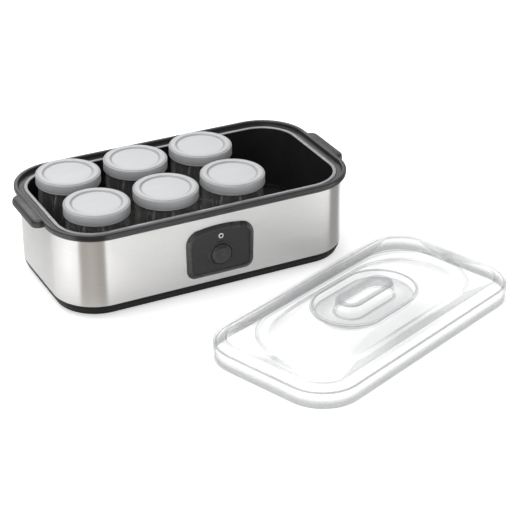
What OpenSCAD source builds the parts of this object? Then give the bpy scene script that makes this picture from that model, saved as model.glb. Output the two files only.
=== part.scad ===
// Yogurt maker with six glass jars and a clear cover that lies beside it.
// Units are millimetres. +Z is up and the front, with the control panel, faces -Y.
// The origin is the middle of the whole set's footprint, on the surface it stands on.

/* [Housing] */
// Length of the steel sleeve
sleeve_l = 350; // [345:1:360]
// Width of the steel sleeve
sleeve_w = 187; // [185:1:196]
// Corner radius of the steel sleeve, seen from above
sleeve_r = 50.5; // [46:0.5:54]
// Thickness of the sleeve's sheet
sheet = 0.8; // [0.6:0.1:1]
// Height of the rubber feet
foot_h = 3; // [2:0.5:4]
// Height of the sleeve's lower edge
sleeve_z0 = 14.2; // [13:0.2:16]
// Height of the sleeve's upper edge, where the rim begins
sleeve_z1 = 94.6; // [94:0.2:96]
// How far the rim stands out from the sleeve
rim_out = 5.8; // [5:0.1:7]
// Height of the rim above the sleeve
rim_h = 8.9; // [8.5:0.1:10]
// How far the end handles reach past the rim
handle_out = 10.2; // [8:0.2:14]
// Width of an end handle
handle_w = 74; // [60:1:90]

/* [Tub] */
// Wall and floor thickness of the tub
tub_wall = 2.2; // [2:0.1:2.6]
// Height of the tub's floor, on which the jars stand
tub_floor = 26; // [25:0.5:28]
// How far inside the sleeve's outline the tub's mouth is
tub_in = 9.6; // [9:0.2:11]
// How much the tub narrows on each side from its mouth to its floor
tub_draft = 6.3; // [5:0.1:7]

/* [Jars] */
// Distance between jars along the machine
jar_pitch_x = 81.6; // [80:0.2:82]
// Distance between the two rows of jars
jar_pitch_y = 84; // [80:0.5:85]
// How far the jars stand to +X of the middle of their columns
jar_shift = 2.6; // [0:0.1:3]
// Columns that hold a jar, of the four that the tub has room for
filled_columns = 3; // [1:1:4]
// Largest radius of a jar
jar_r = 34.5; // [33:0.1:35]
// Height of a jar without its lid
jar_h = 87.6; // [78:0.1:88]
// Radius of a jar's lid
lid_r = 36.6; // [35.8:0.1:37]

/* [Control panel] */
// Place of the panel's middle along the front
panel_x = 2.5; // [-20:0.5:20]
// Width of the panel
panel_w = 82; // [78:1:90]
// Height of the panel's lower edge
panel_z0 = 22; // [21:0.5:26]
// Height of the panel's upper edge
panel_z1 = 82.7; // [80:0.5:84]
// Height of the button's axis
button_z = 47.5; // [46:0.5:49]
// Radius of the button
button_r = 12; // [10:0.1:12]
// How far the button travels
button_travel = 3; // [2:0.1:3]
// Height of the pilot light's axis
pilot_z = 69.6; // [68:0.2:71]

/* [Cover] */
// Length of the cover
cover_l = 341.6; // [340:0.2:346]
// Width of the cover
cover_w = 180.4; // [178:0.2:183]
// Corner radius of the cover
cover_r = 47.1; // [44:0.1:48]
// Thickness of the cover's wall
cover_t = 2; // [1.6:0.1:2.2]
// Height of the cover's flat top above its edge
cover_top = 24; // [22:0.5:26]
// Height of the domed middle above the edge
cover_dome = 33; // [31:0.5:35]
// Height of the grip above the edge
cover_grip = 40.2; // [38:0.2:42]
// Angle at which the cover lies beside the machine
cover_turn = 21.65; // [0:0.05:30]

/* [Places] */
// Place of the machine's middle in the set's footprint
machine_at = [-48, 131, 0];
// Place of the cover's middle, lying on the surface in front of the machine
cover_at = [60.8, -96.7, 0];
// Place of the cord gland along the back
gland_x = 110; // [60:1:115]
// Height of the cord gland's axis
gland_z = 36; // [34:1:40]

/* [Hidden] */
$fn = 64;
JARS = [1 : 2 * filled_columns];

rim_z1 = sleeve_z1 + rim_h;
seat_z = rim_z1 - 4.9;
ledge_z = seat_z - 1.15;
flange_out = -5.6;
flange_top = ledge_z + 2.3;
skin_gap = 0.2;

foot_r = 8.5;
foot_x = 136;
foot_y = 57;
pan_floor = 2.5;
pan_top = foot_h + pan_floor;
pan_in = 3.8;
screw_x = 104;
screw_y = 62;
screw_r = 1.6;
screw_head_r = 3.5;
screw_well = 5;

heater_l = 230;
heater_w = 104;
heater_t = 1.2;
cord_d = 3;
cord_rows = [-40, -26, -12, 12, 26, 40];
cord_reach = 98;
under_tub = tub_floor - tub_wall;
under_plate = under_tub - heater_t;

jar_sink = 0.8;
jar_foot_r = 33;
neck_r = 33.2;
mouth_r = 30.6;
glass = 2.6;
lid_skirt = 11.9;

gland_neck = [14, 12];
block_at = [gland_x - 32, 62, pan_top];
block_size = [26, 14, 10];

face_u = 2.8;
ledge_u = 1;
board_u0 = -6;
board_u1 = -4.4;
pilot_r = 3.1;

BLACK = [0.13, 0.13, 0.14];
GREY = [0.3, 0.3, 0.32];
STEEL = [0.78, 0.78, 0.76];

// ---------- helpers ----------

// Moves what is drawn round the machine's middle to the machine's place in the set.
module on_machine() {
    translate(machine_at) children();
}

// Draws on the front of the sleeve: x along the front, y up, z outwards.
module on_front() {
    on_machine()
        translate([panel_x, -sleeve_w / 2, 0]) rotate([90, 0, 0]) children();
}

// A flat rounded rectangle of length l, width w and corner radius r.
module rounded_rect(l, w, r) {
    square([l - 2 * r, w], center = true);
    square([l, w - 2 * r], center = true);
    for (sx = [-1, 1], sy = [-1, 1])
        translate([sx * (l / 2 - r), sy * (w / 2 - r)]) circle(r);
}

// Carries a profile round a rounded rectangle. The profile's x is the distance
// outwards from the outline, and its y is the height.
module swept(l, w, r) {
    for (quarter = [0 : 3]) {
        sx = quarter == 0 || quarter == 3 ? 1 : -1;
        sy = quarter < 2 ? 1 : -1;
        translate([sx * (l / 2 - r), sy * (w / 2 - r), 0])
            rotate([0, 0, 90 * quarter])
                rotate_extrude(angle = 90) translate([r, 0]) children();
        run = quarter % 2 == 0 ? w - 2 * r : l - 2 * r;
        reach = quarter % 2 == 0 ? l / 2 : w / 2;
        rotate([0, 0, 90 * quarter]) translate([reach, run / 2, 0])
            rotate([90, 0, 0]) linear_extrude(run) children();
    }
}

// The same as swept(), round the outline of the steel sleeve.
module round_sleeve() {
    swept(sleeve_l, sleeve_w, sleeve_r) children();
}

// The outline of the sleeve, moved outwards by grow.
module sleeve_outline(grow) {
    rounded_rect(sleeve_l + 2 * grow, sleeve_w + 2 * grow, sleeve_r + grow);
}

// A tube of radius r along the given points, with its ends closed. side is a
// direction that the tube never runs along.
module tube(points, r, side, sides = 8) {
    last = len(points) - 1;
    rings = [for (i = [0 : last])
        let (ahead = points[min(i + 1, last)] - points[max(i - 1, 0)],
             across = cross(ahead, side),
             u = across / norm(across),
             v = cross(ahead / norm(ahead), u))
        for (k = [0 : sides - 1])
            points[i] + r * (cos(360 * k / sides) * u + sin(360 * k / sides) * v)];
    walls = [for (i = [0 : last - 1], k = [0 : sides - 1])
        let (a = i * sides + k, b = i * sides + (k + 1) % sides)
        [a, b, b + sides, a + sides]];
    ends = [[for (k = [sides - 1 : -1 : 0]) k],
            [for (k = [0 : sides - 1]) last * sides + k]];
    polyhedron(rings, [for (f = concat(walls, ends)) [for (k = [len(f) - 1 : -1 : 0]) f[k]]]);
}

// ---------- housing ----------

// Section of the rim: a lip over a quarter-round edge outside, the cover's seat
// behind it, the tub's ledge inside, and a collar that goes into the sleeve.
module rim_section() {
    edge = 1.2;
    under = 5;
    lip = 0.9;
    polygon([
        [-3, sleeve_z1 - 8.6], [-sheet - skin_gap, sleeve_z1 - 8.6],
        [-sheet - skin_gap, sleeve_z1], [rim_out - under, sleeve_z1],
        [rim_out - under, sleeve_z1 + under], [rim_out, sleeve_z1 + under],
        [rim_out, rim_z1 - edge], [rim_out - edge, rim_z1],
        [lip + edge, rim_z1], [lip, rim_z1 - edge],
        [lip - 0.5, seat_z], [flange_out + skin_gap, seat_z],
        [flange_out + skin_gap, ledge_z], [-7.2, ledge_z],
        [-7.2, ledge_z - 1.9], [-3, ledge_z - 1.9]]);
    intersection() {
        translate([rim_out - under, sleeve_z1 + under]) circle(under);
        translate([rim_out - under, sleeve_z1]) square(under);
    }
    for (x = [rim_out - edge, lip + edge]) translate([x, rim_z1 - edge]) circle(edge);
}

// One end handle: a tab with a rounded edge, open below for the fingers.
module end_handle() {
    corner = 9;
    edge = 5.5;
    top = rim_z1;
    bottom = sleeve_z1;
    tip = sleeve_l / 2 + rim_out + handle_out;
    root = sleeve_l / 2 + 2.4;
    depth = 30;
    shell = 2.2;
    difference() {
        intersection() {
            translate([tip - depth / 2, 0, 0]) {
                swept(depth, handle_w, corner) {
                    translate([-corner, bottom]) square([corner, top - edge - bottom]);
                    translate([-corner, bottom]) square([corner - edge, top - bottom]);
                    intersection() {
                        translate([-edge, top - edge]) circle(edge);
                        translate([-edge, top - edge]) square(edge);
                    }
                }
                translate([0, 0, (bottom + top) / 2])
                    cube([depth - 2 * corner, handle_w - 2 * corner, top - bottom], center = true);
            }
            translate([root, -handle_w, bottom - 1]) cube([depth, 2 * handle_w, 20]);
        }
        translate([sleeve_l / 2 + rim_out + shell / 2, -handle_w / 2 + shell, bottom - 1])
            cube([handle_out - 1.5 * shell, handle_w - 2 * shell, top - bottom + 0.2 - shell]);
    }
}

module top_rim() {
    color(GREY) on_machine() {
        round_sleeve() rim_section();
        end_handle();
        rotate([0, 0, 180]) end_handle();
    }
}

// Outline of the control panel, moved inwards by inset: an arched top with wide
// corners over a flat bottom with small ones. Its y is the height.
module panel_outline(inset) {
    low_r = 10;
    high_r = 17;
    arch_r = 150;
    span = panel_w / 2 - high_r;
    offset(delta = -inset) hull() {
        for (s = [-1, 1]) {
            translate([s * (panel_w / 2 - low_r - 0.6), panel_z0 + low_r]) circle(low_r, $fn = 32);
            translate([s * span, panel_z1 - 2 - high_r]) circle(high_r, $fn = 40);
        }
        intersection() {
            translate([0, panel_z1 - arch_r]) circle(arch_r, $fn = 120);
            translate([-span, panel_z1 - high_r]) square([2 * span, high_r]);
        }
    }
}

module steel_sleeve() {
    color(STEEL) difference() {
        on_machine() translate([0, 0, sleeve_z0]) linear_extrude(sleeve_z1 - sleeve_z0)
            difference() {
                sleeve_outline(0);
                sleeve_outline(-sheet);
            }
        on_front() translate([0, 0, -3]) linear_extrude(6) panel_outline(4.6);
        on_machine() translate([gland_x, sleeve_w / 2, gland_z])
            cube([gland_neck[0] + 0.2, 6, gland_neck[1] + 0.2], center = true);
    }
}

// Places of the jars: the front row first, each row from the -X end.
function jar_place(i) =
    let (column = (i - 1) % filled_columns, row = floor((i - 1) / filled_columns))
    [(column - 1.5) * jar_pitch_x + jar_shift, (row - 0.5) * jar_pitch_y, tub_floor - jar_sink];

// The tub: drafted walls with a flange that hangs on the rim's ledge, a floor with
// a shallow seat for each jar, and a boss for each base screw.
module inner_tub() {
    wall_out = tub_in - tub_wall + 0.2;
    foot = tub_in + tub_draft;
    bend = 2.6;
    color(BLACK) on_machine() difference() {
        union() {
            round_sleeve() polygon([
                [flange_out, ledge_z], [flange_out, flange_top - 0.7],
                [flange_out - 0.7, flange_top], [-tub_in + 0.7, flange_top],
                [-tub_in, flange_top - 0.7], [-foot, tub_floor + bend],
                [-foot - bend, tub_floor], [-foot - bend, under_tub],
                [-foot + 0.1, under_tub], [-foot + tub_wall, tub_floor],
                [-wall_out, ledge_z - 0.6], [-wall_out + 0.4, ledge_z]]);
            translate([0, 0, under_tub]) linear_extrude(tub_wall) sleeve_outline(-foot - bend + 1);
            for (sx = [-1, 1], sy = [-1, 1]) translate([sx * screw_x, sy * screw_y, foot_h + 7.2])
                cylinder(r = 4.2, h = under_tub - foot_h - 7);
        }
        for (column = [-1.5 : 1.5], row = [-0.5, 0.5])
            translate([column * jar_pitch_x + jar_shift, row * jar_pitch_y, tub_floor - jar_sink])
                cylinder(r = jar_foot_r + 0.6, h = 2);
        for (sx = [-1, 1], sy = [-1, 1]) translate([sx * screw_x, sy * screw_y, foot_h])
            cylinder(r = screw_r + 0.05, h = 17);
    }
}

// The base pan: a bevelled skirt that the sleeve stands on, a collar inside the
// sleeve, and screw posts.
module base_pan() {
    wall = 2.4;
    color(BLACK) on_machine() difference() {
        union() {
            round_sleeve() polygon([
                [-pan_in - 3, foot_h], [-pan_in - 0.9, foot_h], [-pan_in, foot_h + 0.9],
                [-0.9, sleeve_z0 - 4], [-0.2, sleeve_z0 - 1.2], [-0.2, sleeve_z0],
                [-sheet - skin_gap, sleeve_z0], [-sheet - skin_gap, sleeve_z0 + 9],
                [-sheet - skin_gap - wall, sleeve_z0 + 9], [-sheet - skin_gap - wall, sleeve_z0 - 3],
                [-pan_in - 3, foot_h + 4]]);
            translate([0, 0, foot_h]) linear_extrude(pan_floor) sleeve_outline(-pan_in - 2);
            for (sx = [-1, 1], sy = [-1, 1]) translate([sx * screw_x, sy * screw_y, foot_h])
                cylinder(r = 6, h = 7);
        }
        for (sx = [-1, 1], sy = [-1, 1]) {
            translate([sx * screw_x, sy * screw_y, foot_h - 1]) {
                cylinder(r = 4.2, h = screw_well + 1);
                cylinder(r = screw_r + 0.3, h = 12);
            }
            translate([sx * foot_x, sy * foot_y, foot_h - 1]) cylinder(r = 5.2, h = pan_floor + 2);
        }
    }
}

// A rubber foot: a pad below the pan and a peg through the pan's floor.
module foot(i) {
    sx = i % 2 == 0 ? 1 : -1;
    sy = i > 2 ? 1 : -1;
    color([0.08, 0.08, 0.08]) on_machine() translate([sx * foot_x, sy * foot_y, 0]) {
        rotate_extrude() polygon([
            [0, 0], [foot_r - 1, 0], [foot_r, 1], [foot_r, foot_h], [5, foot_h],
            [5, foot_h + pan_floor + 1], [0, foot_h + pan_floor + 1]]);
    }
}

// Four tapping screws that hold the base pan to the tub's bosses.
module base_screws() {
    color(STEEL) on_machine() for (sx = [-1, 1], sy = [-1, 1])
        translate([sx * screw_x, sy * screw_y, foot_h + screw_well]) difference() {
            union() {
                translate([0, 0, -2]) cylinder(r = screw_head_r, h = 2);
                cylinder(r = screw_r, h = 10);
            }
            for (turn = [0, 90]) rotate([0, 0, turn])
                translate([0, 0, -1.8]) cube([4.4, 0.8, 1.4], center = true);
        }
}

// ---------- heating ----------

// Aluminium plate under the tub's floor, which spreads the heat.
module heater_plate() {
    color([0.8, 0.8, 0.82]) on_machine() translate([0, 0, under_plate])
        linear_extrude(heater_t) rounded_rect(heater_l, heater_w, 12);
}

// Heating cord laid to and fro under the plate, with a wider bend round the thermostat.
module heating_cord() {
    color([0.85, 0.3, 0.2]) on_machine() translate([0, 0, under_plate - cord_d / 2 - 0.05]) {
        for (y = cord_rows) translate([-cord_reach, y, 0]) rotate([0, 90, 0])
            cylinder(d = cord_d, h = 2 * cord_reach, $fn = 24);
        for (i = [0 : len(cord_rows) - 2]) {
            end = i % 2 == 0 ? -1 : 1;
            bend = (cord_rows[i + 1] - cord_rows[i]) / 2;
            translate([end * cord_reach, cord_rows[i] + bend, 0])
                rotate([0, 0, end > 0 ? -90 : 90])
                    rotate_extrude(angle = 180) translate([bend, 0]) circle(d = cord_d, $fn = 24);
        }
    }
}

// Bimetal thermostat: a can with a mounting flange and two terminals.
module thermostat() {
    color([0.75, 0.72, 0.66]) on_machine() translate([0, 0, under_plate - 0.05]) {
        rotate([180, 0, 0]) {
            cylinder(r = 9.4, h = 1);
            cylinder(r = 8, h = 6);
            for (s = [-1, 1]) translate([s * 4.5 - 1.5, -0.4, 5]) cube([3, 0.8, 5]);
        }
    }
}

// One-shot thermal fuse: a small barrel with a lead at each end.
module thermal_fuse() {
    color([0.9, 0.9, 0.86]) on_machine() translate([40, 0, under_plate - 2.3]) rotate([0, 90, 0]) {
        cylinder(r = 2.1, h = 12, $fn = 24);
        translate([0, 0, -7]) cylinder(r = 0.6, h = 26, $fn = 16);
    }
}

// Terminal block on the base pan, where the mains lead's cores meet the wires.
module terminal_block() {
    color([0.9, 0.88, 0.8]) on_machine() translate(block_at) difference() {
        translate([-block_size[0] / 2, -block_size[1] / 2, 0]) cube(block_size);
        for (s = [-1, 0, 1]) translate([s * 8, 0, block_size[2] - 5]) cylinder(r = 2, h = 6);
    }
}

// Routes of the wires inside the housing: block to switch, block to heating cord,
// switch to thermostat, thermostat to fuse, and fuse to heating cord.
function wire_routes() = let (
    bx = block_at[0], by = block_at[1] - block_size[1] / 2,
    front = 8.3 - sleeve_w / 2, low = 7.5, end = cord_reach + 1.3, blade = under_plate - 10.1,
    lead = under_plate - 3.1, crimp = under_plate - 2.2) [
    [[bx - 8, by - 0.1, 10], [bx - 8, by - 2, 10], [bx - 8.6, by - 8, 8.4], [bx - 16, 10, low],
     [46, -50, low], [24, -74, 9.5], [panel_x + 4, front + 0.4, 18], [panel_x + 3, front, 30],
     [panel_x + 3, front, button_z - 7], [panel_x + 3, front, button_z - 5.1]],
    [[bx + 8, by - 0.1, 10], [bx + 8, by - 2, 10], [bx + 10, by - 6, 11.5], [94, 44, 14],
     [end, 40, crimp - 2.2], [end, 40, crimp]],
    [[panel_x - 3, front, button_z - 5.1], [panel_x - 3, front, button_z - 7], [panel_x - 3, front, 30],
     [panel_x - 4, front + 0.4, 18], [-16, -70, 8], [-22, -24, 8], [-12, -5, 8], [-4.7, 0, 9.4],
     [-4.5, 0, blade - 0.6], [-4.5, 0, blade]],
    [[4.5, 0, blade], [4.5, 0, blade - 0.6], [6.4, -0.6, 9.6], [14, -2, 9.6], [26, -3, 12],
     [33, -0.4, lead - 2.4], [33, 0, lead - 1], [33, 0, lead]],
    [[59, 0, lead], [59, 0, lead - 1], [60, -1, lead - 2.6], [68, -9, 14], [84, -30, 12],
     [end - 1, -39, crimp - 3.4], [end, -40, crimp - 1.6], [end, -40, crimp]]];
module lead_wires() {
    color([0.2, 0.35, 0.7]) on_machine()
        for (route = wire_routes()) tube(route, 1.1, [0.5, 0.4, -0.75]);
}

// A rounded block of the gland, wider than its neck by grow, from height z0 to z1.
module gland_block(grow, z0, z1) {
    translate([0, 0, z0]) linear_extrude(z1 - z0)
        rounded_rect(gland_neck[0] + grow, gland_neck[1] + grow, grow > 0 ? 2.4 : 0.6);
}

// Rubber gland clipped into a square opening in the back of the sleeve, with a round
// bore for the mains lead and a short tapered nose.
module cord_gland() {
    color([0.08, 0.08, 0.08]) on_machine()
        translate([gland_x, sleeve_w / 2, gland_z]) rotate([-90, 0, 0]) difference() {
            union() {
                gland_block(3, -3.4, -1);
                gland_block(0, -6, 0.5);
                gland_block(4.4, 0, 2);
                translate([0, 0, 1.5]) cylinder(r1 = 6.2, r2 = 5.2, h = 3.7);
            }
            translate([0, 0, -7]) cylinder(r = 3.6, h = 14);
        }
}

// ---------- control panel ----------

// Moulded frame of the panel, with a wide chamfer and a collar through the sleeve.
module panel_bezel() {
    color(BLACK) on_front() difference() {
        union() {
            hull() {
                linear_extrude(1) panel_outline(0);
                linear_extrude(3.4) panel_outline(4);
            }
            translate([0, 0, -4]) linear_extrude(4.5) panel_outline(4.8);
        }
        translate([0, 0, ledge_u]) linear_extrude(4) panel_outline(5.5);
        translate([0, 0, -5]) linear_extrude(7) panel_outline(7.2);
    }
}

// Flat face inside the frame, with the button's collar, the hole of the pilot
// ring and two posts for the switch board.
module panel_face() {
    color(BLACK) on_front() difference() {
        union() {
            translate([0, 0, ledge_u]) linear_extrude(face_u - ledge_u) panel_outline(5.7);
            translate([0, button_z, ledge_u]) cylinder(r = button_r + 2, h = face_u + 0.9 - ledge_u);
            for (s = [-1, 1]) translate([s * 19, button_z, board_u1])
                cylinder(r = 2.6, h = ledge_u - board_u1 + 0.5);
        }
        translate([0, button_z, 0]) cylinder(r = button_r + 0.4, h = 10);
        translate([0, pilot_z, 0]) cylinder(r = pilot_r + 0.1, h = 10);
        for (s = [-1, 1]) translate([s * 19, button_z, board_u1 - 1]) cylinder(r = 1, h = 5);
    }
}

// Push button: a domed cap with a thumb dimple, a stop flange behind the face,
// and a stem that works the switch.
module power_button() {
    crown = 7.6;
    dome_r = 22;
    dimple_r = 12;
    color(GREY) on_front() translate([0, button_z, 0]) difference() {
        union() {
            intersection() {
                translate([0, 0, -0.9]) cylinder(r = button_r, h = 12);
                translate([0, 0, crown - dome_r]) sphere(dome_r);
            }
            translate([0, 0, -0.9]) cylinder(r = button_r + 1.6, h = 1.6);
        }
        translate([0, 0, crown - 1.1 + dimple_r]) sphere(dimple_r);
        translate([0, 0, -1]) difference() {
            cylinder(r = button_r - 1.6, h = 4);
            cylinder(r = 2, h = 4);
        }
    }
    color(GREY) on_front() translate([0, button_z, -6.6]) cylinder(r = 2, h = 6.6);
}

// Return spring between the button and the switch board.
module button_spring() {
    coil_r = 5;
    turns = 4;
    steps = 12;
    rise = 2.9 - board_u1 - 1;
    color(STEEL) on_front() translate([0, button_z, board_u1 + 0.5])
        tube([for (i = [0 : turns * steps])
            [coil_r * cos(360 * i / steps), coil_r * sin(360 * i / steps), rise * i / (turns * steps)]],
            0.4, [0, 0, 1], 6);
}

// Latching switch behind the board, with a socket for the button's stem.
module power_switch() {
    color([0.2, 0.2, 0.2]) on_front() translate([0, button_z, 0]) difference() {
        translate([-6, -5, -10.4]) cube([12, 10, 10.4 + board_u0]);
        translate([0, 0, -10]) cylinder(r = 2.4, h = 10);
    }
}

// Small board that carries the switch and the pilot lamp.
module switch_board() {
    color([0.2, 0.42, 0.25]) on_front() difference() {
        translate([-23, button_z - 10, board_u0]) cube([46, 36, board_u1 - board_u0]);
        translate([0, button_z, board_u0 - 1]) cylinder(r = 2.6, h = 5);
        for (s = [-1, 1]) translate([s * 19, button_z, board_u0 - 1]) cylinder(r = 1.2, h = 5);
    }
}

// Two screws that hold the switch board to the face's posts.
module board_screws() {
    color(STEEL) on_front() for (s = [-1, 1]) translate([s * 19, button_z, 0]) {
        translate([0, 0, board_u0 - 1.4]) cylinder(r = 2, h = 1.4);
        translate([0, 0, board_u0]) cylinder(r = 0.95, h = 4.6);
    }
}

// White light ring of the pilot lamp, clipped into the face from behind.
module pilot_ring() {
    color("white") on_front() translate([0, pilot_z, 0]) difference() {
        union() {
            cylinder(r = pilot_r, h = face_u + 0.3);
            translate([0, 0, -0.2]) cylinder(r = pilot_r + 1.2, h = ledge_u + 0.1);
        }
        translate([0, 0, 0.9]) cylinder(r = 1.5, h = 4);
    }
}

// Pilot lamp on the board, behind its ring.
module pilot_lamp() {
    color([0.9, 0.5, 0.3]) on_front() translate([0, pilot_z, board_u1]) {
        cylinder(r = 2.5, h = 1.2);
        cylinder(r = 1.9, h = 3.4);
    }
}

// ---------- jars ----------

// Points of an arc round [x, z], from angle a to angle b.
function arc(x, z, r, a, b, n = 5) =
    [for (i = [0 : n]) let (t = a + (b - a) * i / n) [x + r * cos(t), z + r * sin(t)]];

// A glass jar: a pushed-up base, a rounded heel, a straight body, and a neck with
// a bead that the lid grips.
module jar(i) {
    neck_z = jar_h - 14;
    bead_r = jar_r - 0.2;
    color([0.85, 0.93, 0.92, 0.5]) on_machine() translate(jar_place(i)) rotate_extrude() polygon(concat(
        [[0, 1.4], [jar_foot_r - 11, 1], [jar_foot_r - 6.5, 0]],
        arc(jar_foot_r - 4, 4, 4, -90, 0),
        [[jar_r, 14], [jar_r, neck_z - 7]],
        [[neck_r + 0.6, neck_z - 2], [neck_r, neck_z], [neck_r, jar_h - 6.4]],
        [[bead_r, jar_h - 5.4], [bead_r, jar_h - 3.2], [neck_r, jar_h - 2]],
        arc(neck_r - 1.3, jar_h - 1.3, 1.3, 0, 90, 3),
        [[mouth_r + 0.8, jar_h], [mouth_r, jar_h - 0.8], [mouth_r, neck_z]],
        [[jar_r - glass, neck_z - 7], [jar_r - glass, 14]],
        arc(jar_foot_r - 8, 8.6, 5, 0, -90),
        [[0, 4.4]]));
}

// A jar's push-on lid: a raised ring round a sunk middle, a skirt over the neck's
// bead and a plug inside the mouth.
module jar_lid(i) {
    top = jar_h + 2;
    skirt = lid_r - 1.6;
    sunk_r = 27.4;
    plug = mouth_r - 0.4;
    color([0.93, 0.93, 0.94]) on_machine() translate(jar_place(i)) rotate_extrude() polygon([
        [0, jar_h - 1.3], [plug - 1.6, jar_h - 1.3], [plug - 1.6, jar_h - 3.4],
        [plug - 0.4, jar_h - 3.4], [plug, jar_h - 2.8], [plug, jar_h],
        [skirt, jar_h], [skirt, top - lid_skirt], [lid_r - 0.3, top - lid_skirt],
        [lid_r, top - lid_skirt + 0.5], [lid_r, top - 1.5], [lid_r - 0.4, top - 0.6],
        [lid_r - 1.3, top], [sunk_r + 1.4, top], [sunk_r + 0.5, top - 0.5],
        [sunk_r, top - 1.6], [0, top - 1.6]]);
}

// ---------- cover ----------

// Level outlines of the cover, from the skirt's edge to the top of the grip. Each
// is [half length, half width, corner radius, height].
function inset(d, z) = [cover_l / 2 - d, cover_w / 2 - d, cover_r - d, z];
function oval(l, w, z) = [l, w, w - 0.6, z];
dish_l = 141.8;
dish_w = 65.5;
moat_l = dish_l - 11.5;
moat_w = dish_w - 9;
moat_z = cover_top - 5;
well_l = 64.5;
well_w = 39.5;
floor_z = cover_top + 0.2;
grip_l = 42;
grip_w = 17.5;
soft = 2.8;
SECTIONS = concat(
    [inset(0, 0), inset(0, 14.4)],
    [for (a = [30, 60]) inset(4 - 4 * cos(a), 14.4 + 4 * sin(a))],
    [inset(4.4, 18.7), inset(8.6, 20.4), inset(11.4, 22.9), inset(13.6, cover_top)],
    [for (a = [0, 40, 80]) oval(dish_l - soft * sin(a), dish_w - soft * sin(a),
                                cover_top - soft * (1 - cos(a)))],
    [oval(moat_l + 4, moat_w + 2.4, moat_z + 0.5), oval(moat_l, moat_w, moat_z)],
    [for (k = [1 : 4]) let (t = k / 4) oval(moat_l + (well_l + soft - moat_l) * t,
                                            moat_w + (well_w + soft - moat_w) * t,
                                            moat_z + (cover_dome - moat_z) * sin(90 * t))],
    [for (a = [40, 80]) oval(well_l + soft * (1 - sin(a)), well_w + soft * (1 - sin(a)),
                             cover_dome - soft * (1 - cos(a)))],
    [oval(well_l - 1, well_w - 1, floor_z + 1.4), oval(well_l - 2.6, well_w - 2.6, floor_z)],
    [oval(grip_l + 1.6, grip_w + 1.6, floor_z), oval(grip_l, grip_w, floor_z + 1.6)],
    [for (a = [0, 45, 90]) oval(grip_l - 4.8 + 3 * cos(a), grip_w - 4.8 + 3 * cos(a),
                                cover_grip - 3 + 3 * sin(a))]);

// The same outlines for the inner surface, one wall's thickness below or inside.
function inner_section(i) =
    let (last = len(SECTIONS) - 1,
         run = i == 0 ? [0, 1] : i == last ? [-1, 0] :
             [SECTIONS[i + 1][0] - SECTIONS[i - 1][0], SECTIONS[i + 1][3] - SECTIONS[i - 1][3]],
         n = cover_t * [-run[1], run[0]] / norm(run))
    SECTIONS[i] + [n[0], n[0], n[0], n[1]];

// Points round one level outline.
steps = 11;
around = 4 * (steps + 1);
function ring(s) = [for (quarter = [0 : 3], k = [0 : steps])
    let (a = 90 * quarter + 90 * k / steps,
         sx = quarter == 0 || quarter == 3 ? 1 : -1, sy = quarter < 2 ? 1 : -1)
    [sx * (s[0] - s[2]) + s[2] * cos(a), sy * (s[1] - s[2]) + s[2] * sin(a), s[3]]];

// Triangles of one band between two rings that start at points a and b.
function band(a, b) = [for (k = [0 : around - 1], half = [0, 1])
    let (next = (k + 1) % around)
    half == 0 ? [a + k, b + next, a + next] : [a + k, b + k, b + next]];

// The clear cover, moulded in one piece: an upright skirt, a sloping shoulder, a flat
// top, a long dish with a domed floor, and a well round a hollow grip.
module clear_cover() {
    outer = SECTIONS;
    inner = [for (i = [0 : len(outer) - 1]) inner_section(i)];
    count = len(outer);
    points = [for (s = concat(outer, inner), p = ring(s)) p];
    under = count * around;
    top = (count - 1) * around;
    faces = concat(
        [for (i = [0 : count - 2], f = band(i * around, (i + 1) * around)) f],
        [for (i = [0 : count - 2], f = band(under + (i + 1) * around, under + i * around)) f],
        band(under, 0),
        [[for (k = [around - 1 : -1 : 0]) top + k]],
        [[for (k = [0 : around - 1]) under + top + k]]);
    color([0.75, 0.8, 0.82, 0.4]) translate(cover_at) rotate([0, 0, cover_turn])
        polyhedron(points, faces);
}

// ---------- parts ----------

top_rim();
steel_sleeve();
inner_tub();
base_pan();
for (i = [1 : 4]) foot(i);
base_screws();
heater_plate();
heating_cord();
thermostat();
thermal_fuse();
terminal_block();
lead_wires();
cord_gland();
panel_bezel();
panel_face();
power_button();
button_spring();
power_switch();
switch_board();
board_screws();
pilot_ring();
pilot_lamp();
for (i = JARS) jar(i);
for (i = JARS) jar_lid(i);
clear_cover();
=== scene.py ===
"""Dresses the yogurt maker: its surfaces, finishes, studio and camera.

Sizes are in millimetres in the frame of the solids: +X along the housing, +Y from
the control panel to the back, +Z up from the worktop.
"""

import logging
import math
from dataclasses import dataclass, field
from enum import Enum
from typing import Sequence

import bmesh
import bpy
import numpy as np
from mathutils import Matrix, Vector


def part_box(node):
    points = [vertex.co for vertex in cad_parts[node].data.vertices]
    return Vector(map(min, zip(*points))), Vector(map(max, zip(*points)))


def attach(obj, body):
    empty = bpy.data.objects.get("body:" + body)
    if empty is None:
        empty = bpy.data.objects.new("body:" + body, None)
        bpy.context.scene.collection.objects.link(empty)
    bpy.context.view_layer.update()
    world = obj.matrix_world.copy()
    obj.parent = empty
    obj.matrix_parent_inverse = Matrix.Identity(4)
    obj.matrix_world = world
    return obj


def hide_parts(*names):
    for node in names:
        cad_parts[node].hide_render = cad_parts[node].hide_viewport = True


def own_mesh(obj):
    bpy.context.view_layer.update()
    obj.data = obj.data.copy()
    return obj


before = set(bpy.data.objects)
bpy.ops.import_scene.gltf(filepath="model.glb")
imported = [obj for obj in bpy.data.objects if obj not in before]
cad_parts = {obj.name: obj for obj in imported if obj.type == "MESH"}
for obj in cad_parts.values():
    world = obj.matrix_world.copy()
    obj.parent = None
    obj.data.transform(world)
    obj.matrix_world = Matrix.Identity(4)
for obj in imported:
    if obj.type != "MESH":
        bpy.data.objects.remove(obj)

LOG = logging.getLogger("yogurt_maker")
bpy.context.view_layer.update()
MM = 0.001

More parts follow.
